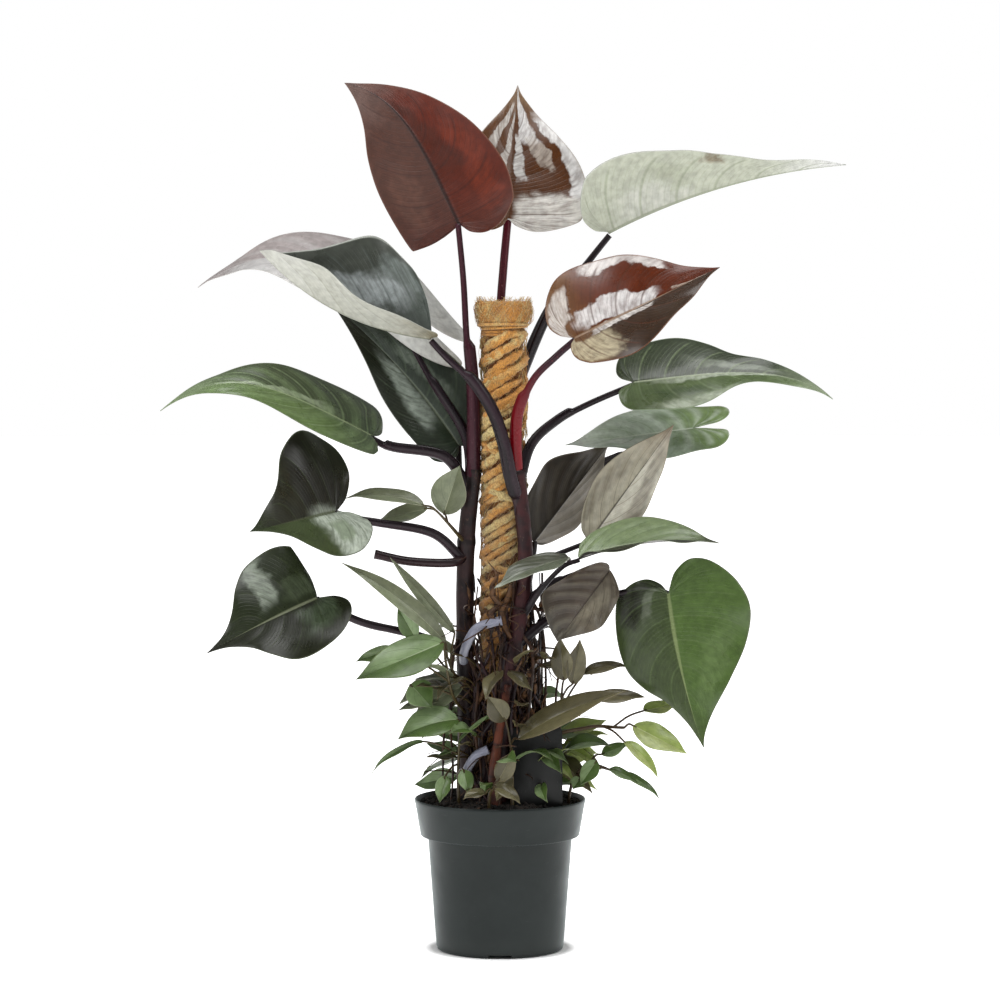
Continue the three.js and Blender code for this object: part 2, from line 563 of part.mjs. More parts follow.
// A closed blade: its middle surface, thickened to both faces, with a keel under the midrib.
function blade(given, size, grow = 0) {
  const leaf = { ...PLAIN_LEAF, ...given };
  const { rows, columns } = size;
  const middle = columns.length - 1;
  const width = 2 * middle + 1;
  const grid = [];
  for (let i = 0; i <= rows; i++) {
    const left = columns.map((v) => bladePoint(leaf, -1, i / rows, v, grow)).reverse();
    const right = columns.map((v) => bladePoint(leaf, 1, i / rows, v, grow)).slice(1);
    grid.push(left.concat(right));
  }
  const positions = [];
  const lower = (rows + 1) * width;
  const faces = [1, -1];
  for (const face of faces) {
    for (let i = 0; i <= rows; i++) {
      for (let j = 0; j < width; j++) {
        const t = i / rows;
        let normal = midrib(leaf, ribAt(t)).up;
        if (j !== middle && i < rows) {
          const along = grid[Math.min(i + 1, rows)][j].clone().sub(grid[Math.max(i - 1, 0)][j]);
          const across = grid[i][Math.min(j + 1, width - 1)].clone().sub(grid[i][Math.max(j - 1, 0)]);
          normal = across.cross(along).normalize();
        }
        const keel = face < 0 && j === middle && t > FAN ? size.keel * (1 - t) : 0;
        const depth = size.thickness / 2 + grow + keel;
        positions.push(grid[i][j].clone().addScaledVector(normal, face * depth).toArray());
      }
    }
  }
  const triangles = [];
  for (let i = 0; i < rows; i++) {
    for (let j = 0; j + 1 < width; j++) {
      const a = i * width + j;
      const b = a + 1;
      const c = a + width + 1;
      const d = a + width;
      const pair = j < middle ? [[a, b, c], [a, c, d]] : [[a, b, d], [b, c, d]];
      for (const [p, q, r] of pair) {
        triangles.push([p, q, r], [lower + p, lower + r, lower + q]);
      }
    }
  }
  const rim = [];
  for (let j = width - 1; j > 0; j--) rim.push(j);
  for (let i = 0; i < rows; i++) rim.push(i * width);
  for (let j = 0; j < width; j++) rim.push(rows * width + j);
  for (let i = rows - 1; i >= 0; i--) rim.push(i * width + width - 1);
  for (let k = 0; k + 1 < rim.length; k++) {
    const p = rim[k];
    const q = rim[k + 1];
    triangles.push([p, q, lower + q], [p, lower + q, lower + p]);
  }
  return solidOf(positions, triangles);
}

// Pieces
// Each maker takes grow, by which it makes the piece larger all round, so a neighbour can be cut clear.

function lathe(profile, sides) {
  const points = profile.map(([r, z]) => new THREE.Vector2(r, z));
  return solidFromGeometry(new THREE.LatheGeometry(points, sides).rotateX(Math.PI / 2));
}

function rod(x, y, radius, bottom, top, sides) {
  const shape = new THREE.CylinderGeometry(radius, radius, top - bottom, sides);
  return solidFromGeometry(shape.rotateX(Math.PI / 2).translate(x, y, (top + bottom) / 2));
}

// The inside of the pot from the middle of its floor up to a height, moved in by a clearance.
function potInside(clear, top) {
  const { height, rimRadius, bandBottomRadius, bandHeight, neckRadius, footRadius, wall, floor } = POT;
  const ledge = height - bandHeight;
  const raised = floor + POT.channelHeight;
  const slope = (rimRadius - bandBottomRadius) / bandHeight;
  return [
    [0, floor + clear],
    [POT.channelInner - wall, floor + clear],
    [POT.channelInner, raised + clear],
    [footRadius - wall - clear, raised + clear],
    [neckRadius - wall - clear, ledge - wall],
    [bandBottomRadius - wall - clear, ledge + wall],
    [bandBottomRadius - wall - clear + slope * (top - ledge), top],
  ];
}

function pot() {
  const { height, rimRadius, bandBottomRadius, bandHeight, neckRadius, footRadius, sides } = POT;
  const ledge = height - bandHeight;
  const bevel = 4;
  const outside = [
    [0, 0],
    [POT.channelInner, 0],
    [POT.channelInner + 2, POT.channelHeight],
    [footRadius - 6, POT.channelHeight],
    [footRadius - 5, 0],
    [footRadius - bevel / 2, 0],
    [footRadius, bevel / 2],
    [neckRadius, ledge],
    [bandBottomRadius, ledge],
    [rimRadius, height - 2],
    [rimRadius - 0.8, height],
  ];
  const inside = potInside(0, height - 1).reverse();
  let made = lathe([...outside, ...inside, [0, 0]], sides);
  for (let i = 0; i < POT.drains; i++) {
    const angle = ((i + 0.5) / POT.drains) * 2 * Math.PI;
    const middle = POT.channelInner + 8;
    const hole = rod(middle * Math.cos(angle), middle * Math.sin(angle), POT.drainRadius, -1, 12, 8);
    made = made.subtract(hole);
  }
  for (let i = 0; i < 4; i++) {
    const notch = new THREE.BoxGeometry(16, POT.notchWidth, 2 * POT.channelHeight - 1);
    notch.translate(footRadius - 1, 0, 0).rotateZ((i / 4) * 2 * Math.PI);
    made = made.subtract(solidFromGeometry(notch));
  }
  return made;
}

// The soil fills the pot, with a lumpy mound that is highest round the stems.
function soil() {
  const { edge, crown, lump, slack, sides, rings } = SOIL;
  const flats = Math.cos(Math.PI / POT.sides);
  const angles = Array.from({ length: sides }, (_, k) => (k / sides) * 2 * Math.PI);
  const wallLine = potInside(GAP, edge - 2).slice(1);
  const below = wallLine.map(([r, z]) =>
    angles.map((angle) => [r * flats * Math.cos(angle), r * flats * Math.sin(angle), z]),
  );
  const edgeRadius = (wallLine[wallLine.length - 1][0] - slack) * flats;
  const mound = Array.from({ length: rings + 1 }, (_, i) => {
    const share = 1 - i / (rings + 0.4);
    const radius = edgeRadius * share;
    const level = edge + (crown - edge) * (1 - share * share);
    return angles.map((angle) => {
      const rough = i === 0 ? 0 : lump * Math.sin(5 * angle + 2 * i) * Math.cos(3 * angle - 4 * i);
      return [radius * Math.cos(angle), radius * Math.sin(angle), level + rough];
    });
  });
  return skin([...below, ...mound]);
}

// Coir wound round the pole: two crossing sets of ridges, a tied neck and a frayed head.
function coir(grow) {
  const { radius, strand, turns, sides, steps } = COIR;
  const height = POLE.top - COIR_HEAD[0][0] - POLE.coirBottom;
  const body = Array.from({ length: steps }, (_, i) => [POLE.coirBottom + (height * i) / steps, radius]);
  const head = COIR_HEAD.map(([down, size]) => [POLE.top - down, size]);
  const rings = [...body, ...head].map(([z, size]) => {
    const lift = (2 * Math.PI * turns * (z - POLE.coirBottom)) / height;
    const above = Math.min(Math.max((z - SOIL.crown) / 12, 0), 1);
    return Array.from({ length: sides }, (_, k) => {
      const angle = (k / sides) * 2 * Math.PI;
      const ridge = 0.6 * Math.sin(2 * angle + lift) + 0.4 * Math.sin(angle - 0.7 * lift);
      const r = size + above * strand * ridge + grow;
      return [POLE.x + r * Math.cos(angle), POLE.y + r * Math.sin(angle), z];
    });
  });
  const bore = POLE.coreRadius + GAP;
  return skin(rings).subtract(rod(POLE.x, POLE.y, bore, POLE.coirBottom - 5, POLE.coreTop + GAP, 12));
}

function core(grow) {
  const { x, y, coreRadius, coreBottom, coreTop } = POLE;
  return rod(x, y, coreRadius + grow, coreBottom - grow, coreTop + grow, 12);
}

// The card stands in the soil on a pointed foot, at the front right.
function tag(grow) {
  const { width, height, thickness, corner, point } = TAG;
  const half = width / 2 + grow;
  const outline = new THREE.Shape();
  outline.moveTo(-6 - grow, -point);
  outline.lineTo(6 + grow, -point);
  outline.lineTo(half, 0);
  outline.lineTo(half, height - point - corner);
  outline.quadraticCurveTo(half, height - point + grow, half - corner, height - point + grow);
  outline.lineTo(corner - half, height - point + grow);
  outline.quadraticCurveTo(-half, height - point + grow, -half, height - point - corner);
  outline.lineTo(-half, 0);
  const depth = thickness + 2 * grow;
  const card = new THREE.ExtrudeGeometry(outline, { depth, bevelEnabled: false, curveSegments: 3 });
  card.translate(0, 0, -depth / 2).rotateX(Math.PI / 2).rotateX(-6 * DEGREE).rotateZ(4 * DEGREE);
  return solidFromGeometry(card.translate(40, -53, 166));
}

// A stem is thicker at its leaf scars, which are closer together towards its top.
function stem(given, grow) {
  const steps = 12;
  const stations = Array.from({ length: steps + 1 }, (_, i) => {
    const t = i / steps;
    const scar = i % 3 === 0 ? 1.08 : 0.97;
    const radius = (given.radii[0] * (1 - t) + given.radii[1] * t) * scar + grow;
    return { t, radius };
  });
  let made = tube(given.path, stations, 8);
  for (const path of given.roots) {
    const line = Array.from({ length: ROOT.steps + 1 }, (_, i) => ({
      t: i / ROOT.steps,
      radius: ROOT.radius * (1.3 - (0.6 * i) / ROOT.steps) + grow,
    }));
    made = made.add(tube(path, line, ROOT.sides));
  }
  for (const path of given.stubs) {
    const line = Array.from({ length: STUB.steps + 1 }, (_, i) => ({
      t: i / STUB.steps,
      radius: STUB.radius + grow,
    }));
    made = made.add(tube(path, line, STUB.sides));
  }
  return made.simplify(TRIM);
}

// A petiole clasps the stem with a wide sheath that ends in a shoulder, then runs thin to the blade.
function petiole(leaf, grow) {
  const { radii, sheath, path, seat = PETIOLE.seat } = leaf.petiole;
  const [wide, thin] = radii;
  const { place, up } = midrib({ ...PLAIN_LEAF, ...leaf }, 0);
  const end = place.addScaledVector(up, -seat * thin - BLADE.thickness / 2 - GAP).toArray();
  const route = [...path, end];
  const ahead = 0.02;
  const stations = [];
  for (const t of [0, 0.25, 0.5, 0.75, 1]) {
    const radius = wide * (1 - (1 - PETIOLE.shoulder) * t);
    stations.push({ t: sheath * t, radius: radius + grow });
  }
  for (const t of [0, 0.33, 0.66, 1]) {
    const radius = thin * (1.12 - 0.12 * t);
    const offset = (1 - t) * (thin - wide * PETIOLE.shoulder) * 0.7;
    stations.push({ t: sheath + ahead + (1 - sheath - ahead) * t, radius: radius + grow, offset });
  }
  return tube(route, stations, PETIOLE.sides);
}

function shoot(given, grow) {
  const stations = [0, 0.33, 0.66, 1].map((t) => ({
    t,
    radius: given.radii[0] * (1 - t) + given.radii[1] * t + grow,
  }));
  let made = tube(given.path, stations, 5);
  for (const leaf of given.leaves) {
    const from = smooth(given.path, leaf.at);
    const middle = from.map((value, k) => (value + leaf.base[k]) / 2 + (k === 2 ? 3 : 0));
    const toTip = vector(leaf.tip).sub(vector(leaf.base)).normalize();
    const into = vector(leaf.base).addScaledVector(toTip, 4).toArray();
    const stalk = [0, 0.5, 1].map((t) => ({ t, radius: STALK.radius + grow }));
    made = made.add(tube([from, middle, leaf.base, into], stalk, STALK.sides));
    made = made.add(blade({ kind: "lance", wave: [1, 1.5, 0], ...leaf }, SMALL_BLADE, grow));
  }
  return made.simplify(TRIM);
}

// Assembly
// A later piece is cut clear of the earlier ones that it would cross.
const built = [];

function place(name, make, finish) {
  let solid = make(0);
  const box = solid.boundingBox();
  for (const other of built) {
    const apart = [0, 1, 2].some((k) => box.min[k] > other.box.max[k] || box.max[k] < other.box.min[k]);
    if (apart || solid.intersect(other.clear).volume() < 1e-6) continue;
    solid = largest(solid.subtract(other.clear)).simplify(TRIM);
  }
  const clear = make(GAP);
  solid = largest(solidFromGeometry(geometryOf(largest(solid))));
  built.push({ name, solid, clear, box: clear.boundingBox(), finish });
}

place("pot", pot, { color: 0x4b504e, roughness: 0.45 });
place("pole_core", core, { color: 0x8a6a44, roughness: 0.8 });
place("coir_wrap", coir, { color: 0xb07a3c, roughness: 0.95 });
place("plant_tag", tag, { color: 0x2c2e30, roughness: 0.5 });
for (const given of STEMS) {
  place(given.name, (grow) => stem(given, grow), { color: given.color, roughness: 0.6 });
}
for (const leaf of LEAVES) {
  place(leaf.name, (grow) => blade(leaf, BLADE, grow), { color: leaf.color, roughness: 0.3 });
}
for (const leaf of LEAVES) {
  const finish = { color: leaf.petiole.color, roughness: 0.5 };
  place(leaf.name.replace("leaf", "petiole"), (grow) => petiole(leaf, grow), finish);
}
for (const given of SHOOTS) {
  place(given.name, (grow) => shoot(given, grow), { color: given.color, roughness: 0.5 });
}
place("soil", soil, { color: 0x1e1814, roughness: 1 });

const plant = new THREE.Group();
for (const { name, solid, finish } of built) {
  const material = new THREE.MeshStandardMaterial({ metalness: 0, ...finish });
  const mesh = new THREE.Mesh(geometryOf(solid), material);
  mesh.name = name;
  plant.add(mesh);
}

export default plant;
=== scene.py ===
"""The looks of a royal queen philodendron on a coir pole, in a nursery pot, around its solid model.

Places and sizes are in millimetres, as in the part's source, and MM turns them into metres.
"""
import math
import random

import bpy
from mathutils import Matrix, Vector


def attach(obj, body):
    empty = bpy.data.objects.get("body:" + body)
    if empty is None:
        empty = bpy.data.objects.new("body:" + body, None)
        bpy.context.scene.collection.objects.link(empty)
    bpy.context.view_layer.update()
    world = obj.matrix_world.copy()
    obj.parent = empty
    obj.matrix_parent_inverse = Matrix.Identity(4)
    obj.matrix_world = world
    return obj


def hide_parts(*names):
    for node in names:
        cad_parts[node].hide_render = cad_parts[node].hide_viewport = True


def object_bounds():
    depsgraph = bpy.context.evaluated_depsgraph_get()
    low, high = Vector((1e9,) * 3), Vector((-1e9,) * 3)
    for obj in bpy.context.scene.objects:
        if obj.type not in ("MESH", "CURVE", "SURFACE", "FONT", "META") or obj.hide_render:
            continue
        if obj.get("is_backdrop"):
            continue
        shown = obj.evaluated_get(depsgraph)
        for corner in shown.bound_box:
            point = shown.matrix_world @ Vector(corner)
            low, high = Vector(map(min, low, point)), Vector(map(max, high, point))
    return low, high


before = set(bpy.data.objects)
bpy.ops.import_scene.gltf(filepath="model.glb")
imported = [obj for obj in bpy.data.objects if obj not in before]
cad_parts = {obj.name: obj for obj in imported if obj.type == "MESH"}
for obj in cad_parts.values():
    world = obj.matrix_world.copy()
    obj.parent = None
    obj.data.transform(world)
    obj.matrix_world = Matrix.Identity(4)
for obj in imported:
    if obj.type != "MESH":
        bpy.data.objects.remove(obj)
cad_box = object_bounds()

MM = 0.001
SEED = 7

# The part's driving dimensions, as in its source.
POT = dict(
    height=168, rim=95, band_bottom=88.5, band_height=41, neck=80.3, foot=70.8, wall=1.8, floor=3,
    channel=50, channel_height=4, notches=4, notch_width=26, drain_radius=5, drains=8,
)
SOIL = dict(edge=162, crown=173, lump=2.4, rings=3, radius=92)
POLE = dict(x=4, y=0, top=722, bottom=138)
TAG = dict(
    width=58, height=112, thickness=1.2, corner=4, point=26, foot=6, place=(40, -53, 166), lean=-6, turn=4,
)
# The radius of a stalk's sheath at its top, as a share of its foot's, and what is left between a
# stalk's end and its blade.
SHOULDER = 0.82
GAP = 0.3
ROOT_RADIUS = 1.5
STUB_RADIUS = 5
STALK_RADIUS = 1.2

# The coir is golden down to one height and dark from another. Its head and neck are given as how
# far below the pole's top a place is, and the radius there.
COIR = dict(radius=23.5, golden=620, damp=380)
COIR_HEAD = (
    (48, 24.5), (39, 23), (34, 21), (31.5, 22.5), (28.5, 26.5), (23, 29.3), (14, 30.5), (7, 29.9),
    (3, 28.6), (0, 26),
)
# A cord winds through span, in radians, and rises by a share of that. crossing is the share of
# cords that lean the other way.
CORD = dict(
    pitch=7.2, radii=(3.8, 5.2), span=(2.2, 3.6), rise=(0.4, 0.62), stand=2.6, below_head=38,
    crossing=0.16,
)
NECK = dict(turns=4, pitch=3.1, below_top=33, radius=1.9)
FIBRES = dict(count=2600, raised=0.25, length=(12, 40), radius=(0.16, 0.34))
TUFT = dict(count=620, below_top=(1, 28), length=(3, 11), radius=(0.16, 0.3))
CRUMBS = dict(count=900, reach=89, size=(0.8, 3.2))

# The thicket at the foot of the pole: how many of each, and the ranges that their sizes come from.
CANES = dict(count=30, top=(230, 430), away=(31, 46), radius=(2.2, 4.6))
ROOTS = dict(count=90, top=(200, 430), away=(28, 48), radius=(0.6, 1.5))
TWIGS = dict(count=60, low=(190, 400), high=420, away=36, length=(18, 62), radius=(0.7, 1.3))
SCRAPS = dict(count=40, top=380, height=(22, 62), away=(34, 44), width=(2.5, 5), curl=(2, 14), thick=0.35)
RED_CANE = ((-4, -56, 164), (-7, -57, 200), (-3, -58, 235), (4, -55, 275), (9, -50, 300))
# The share of these that stand in front of the pole.
IN_FRONT = 0.7
# How far the foot of a stalk's sheath runs down its stem, and how many leaf scars a stem has.
COLLAR = 34
LEAF_SCARS = 4
# Stubs that start higher than this have the dark cut.
DARK_CUTS = 400
# Small leaves that fill the foot of the plant: how many, their looks, where they start round
# the pole (degrees, 0 to the right and -90 to the front) and how high.
FILL = (
    (18, "shoot_green", (-200, 20), (178, 268)),
    (14, "shoot_olive", (-170, 0), (190, 330)),
    (10, "shoot_pale", (-215, -130), (250, 400)),
    (7, "shoot_lime", (-60, 20), (180, 250)),
    (10, "shoot_green", (20, 160), (178, 320)),
)

# How blades are made: their thickness and keel, the rows round their outline and how far out their
# columns lie, and their relief, in which sunk side veins lie between raised fields.
BIG = dict(
    thickness=0.9, keel=1.6, rows=96,
    columns=(
        0, 0.02, 0.045, 0.08, 0.13, 0.19, 0.26, 0.33, 0.41, 0.49, 0.57, 0.65, 0.73, 0.81, 0.88, 0.94,
        0.98, 1,
    ),
    veins=9, field=0.75, rib=0.9, rib_width=0.035, ripple=1.7,
)
SMALL = dict(
    thickness=0.8, keel=0.4, rows=24, columns=(0, 0.05, 0.14, 0.32, 0.55, 0.8, 0.95, 1),
    veins=6, field=0.2, rib=0.4, rib_width=0.08, ripple=0.25,
)
# How fine each kind of tube is: its steps along and its sides round.
TUBES = dict(
    stalk=(72, 22), stem=(120, 28), root=(40, 8), stub=(40, 18), collar=(26, 16), cane=(44, 10),
    thin_root=(30, 6), twig=(16, 6), scrap=(20, 12), red_cane=(44, 14), spray=(40, 10), thin_stalk=(20, 8),
)
# The same for the pot, the fibre mat and the soil, and the soil's walls as radius and height.
POT_SIDES = 168
MAT = (200, 96)
SOIL_SIDES = 120
SOIL_STEPS = 34
SOIL_WALLS = ((69, 7.6), (70, 12), (78, 124), (86, 130), (90.5, 160))
# Which of its piece's materials a surface takes: on a stem, in the undergrowth and on a spray.
BARK, ROOT, CUT, DARK_CUT = range(4)
CANE, TWIG, DRY, RED = range(4)
BLADE, STALK = range(2)
KEEL_WIDTH = 0.03
VEIN_SWEEP = 0.12
# Where on its outline a lobe ends, and the rows of a blade start to run out from the midrib.
FAN = 0.3

# The photograph's camera, in metres, and its lens in millimetres.
CAMERA = dict(place=(0, -4.0, 0.735), aim=(0, 0, 0.5), lens=130.2)
# Each lamp's place, aim and size in metres, and its power in watts.
LAMPS = {
    "top_softbox": ((0, -1.0, 4.4), (0, 0, 0.6), (3.2, 2.4), 150),
    "left_softbox": ((-3.0, -1.6, 2.4), (0, 0, 0.55), (1.2, 1.6), 44),
    "right_softbox": ((3.0, -1.4, 2.6), (0, 0, 0.5), (1.0, 1.4), 30),
}
# How bright the room is overhead and in front, where it is 1 behind the plant, and the directions,
# up and back, between which it changes.
ROOM = dict(ceiling=0.3, up=(0.1, 0.24), front=0.5, back=(-0.2, 0.5))
FLOOR_REACH = 14000
# How the floor's own glow grows away from the pot's middle: from and to in metres, and by how much.
FLOOR_GLOW = ((0.074, 0.088, 0.8), (0.12, 0.7, 0.28))
# The lamps make a surface brighter than its own colour, so colours are darkened by this much.
SHADE = 0.62

# What a leaf has unless it says otherwise. Angles are in degrees and pairs are left, right.
# radii are its stalk's, sheath is how far up the stalk's clasping part reaches, and seat how far
# under the blade the stalk's axis ends, in radii.
PLAIN_LEAF = dict(
    kind="heart", halves=(70, 70), bow=0, curl=0, sweep=0, hook=0, fold=(15, 15), cup=(-15, -15),
    wave=(2, 2, 0), lobes=(1, 1), seat=0.6,
)

# How rough the faces of the large leaves and of the small ones are.
ROUGHNESS = dict(top=0.3, under=0.42, small=0.32)
# Each bark's dark and light skin and its scars, as seen on a screen.
BARKS = {
    "stem_bark_dark": ((26, 17, 20), (60, 42, 42), (14, 9, 10)),
    "stem_bark_red": ((40, 18, 22), (74, 36, 38), (20, 10, 12)),
    "root_bark": ((40, 26, 20), (86, 58, 40), (26, 18, 14)),
    "dry_sheath": ((58, 38, 26), (120, 84, 52), (40, 26, 18)),
    "cane_red": ((58, 24, 16), (104, 52, 32), (38, 18, 12)),
}
# Each stem's bark and a slot name, which is passed on to make.
STEM_LOOKS = {
    "stem_left": ("stem_bark_dark", "stem_dark"),
    "stem_right": ("stem_bark_red", "stem_red_brown"),
    "stem_back": ("stem_bark_dark", "stem_dark"),
}
# Each smooth skin's dark tone, its light tone, which also paints a highlight stripe, and its flecks.
SKINS = {
    "cane_skin": ((30, 18, 22), (76, 50, 54), (96, 70, 62)),
    "stub_skin": ((146, 148, 166), (214, 216, 228), (226, 226, 230)),
    "shoot_stalk": ((66, 50, 34), (112, 104, 62), (110, 86, 66)),
}

# Outlines of one half of a blade, from the sinus round the lobe to the tip.
# The first number runs along the midrib, 0 at the petiole and 1 at the tip, the second across it.
OUTLINES = {
    "heart": (
        (-0.03, 0.02), (-0.12, 0.12), (-0.18, 0.33), (-0.15, 0.62), (-0.02, 0.9), (0.18, 1), (0.4, 0.88),
        (0.62, 0.56), (0.8, 0.25), (0.92, 0.07), (1, 0),
    ),
    "broad": (
        (-0.03, 0.02), (-0.12, 0.12), (-0.18, 0.33), (-0.15, 0.62), (-0.02, 0.88), (0.18, 0.99),
        (0.42, 0.98), (0.64, 0.82), (0.82, 0.5), (0.94, 0.18), (1, 0),
    ),
    "drip": (
        (-0.03, 0.02), (-0.12, 0.12), (-0.18, 0.33), (-0.14, 0.62), (0, 0.9), (0.2, 1), (0.4, 0.93),
        (0.54, 0.68), (0.66, 0.36), (0.8, 0.14), (0.92, 0.04), (1, 0),
    ),
    "round": (
        (-0.03, 0.02), (-0.14, 0.15), (-0.22, 0.42), (-0.2, 0.75), (-0.06, 0.97), (0.12, 1), (0.3, 0.84),
        (0.46, 0.6), (0.62, 0.36), (0.8, 0.16), (0.92, 0.05), (1, 0),
    ),
    "ovate": (
        (-0.01, 0.03), (-0.07, 0.14), (-0.1, 0.36), (-0.06, 0.66), (0.06, 0.92), (0.25, 1), (0.46, 0.88),
        (0.66, 0.56), (0.82, 0.26), (0.93, 0.08), (1, 0),
    ),
    "lance": (
        (0, 0.04), (0.01, 0.16), (0.05, 0.42), (0.16, 0.78), (0.33, 1), (0.5, 0.97), (0.66, 0.76),
        (0.8, 0.45), (0.91, 0.18), (0.97, 0.05), (1, 0),
    ),
    "tail": (
        (-0.02, 0.03), (-0.1, 0.14), (-0.14, 0.36), (-0.1, 0.68), (0.03, 0.95), (0.2, 1), (0.36, 0.8),
        (0.5, 0.48), (0.66, 0.28), (0.84, 0.16), (1, 0),
    ),
    "scoop": (
        (-0.01, 0.03), (-0.03, 0.1), (-0.01, 0.22), (0.08, 0.42), (0.25, 0.62), (0.45, 0.82),
        (0.62, 0.97), (0.76, 1), (0.88, 0.8), (0.96, 0.4), (1, 0),
    ),
}

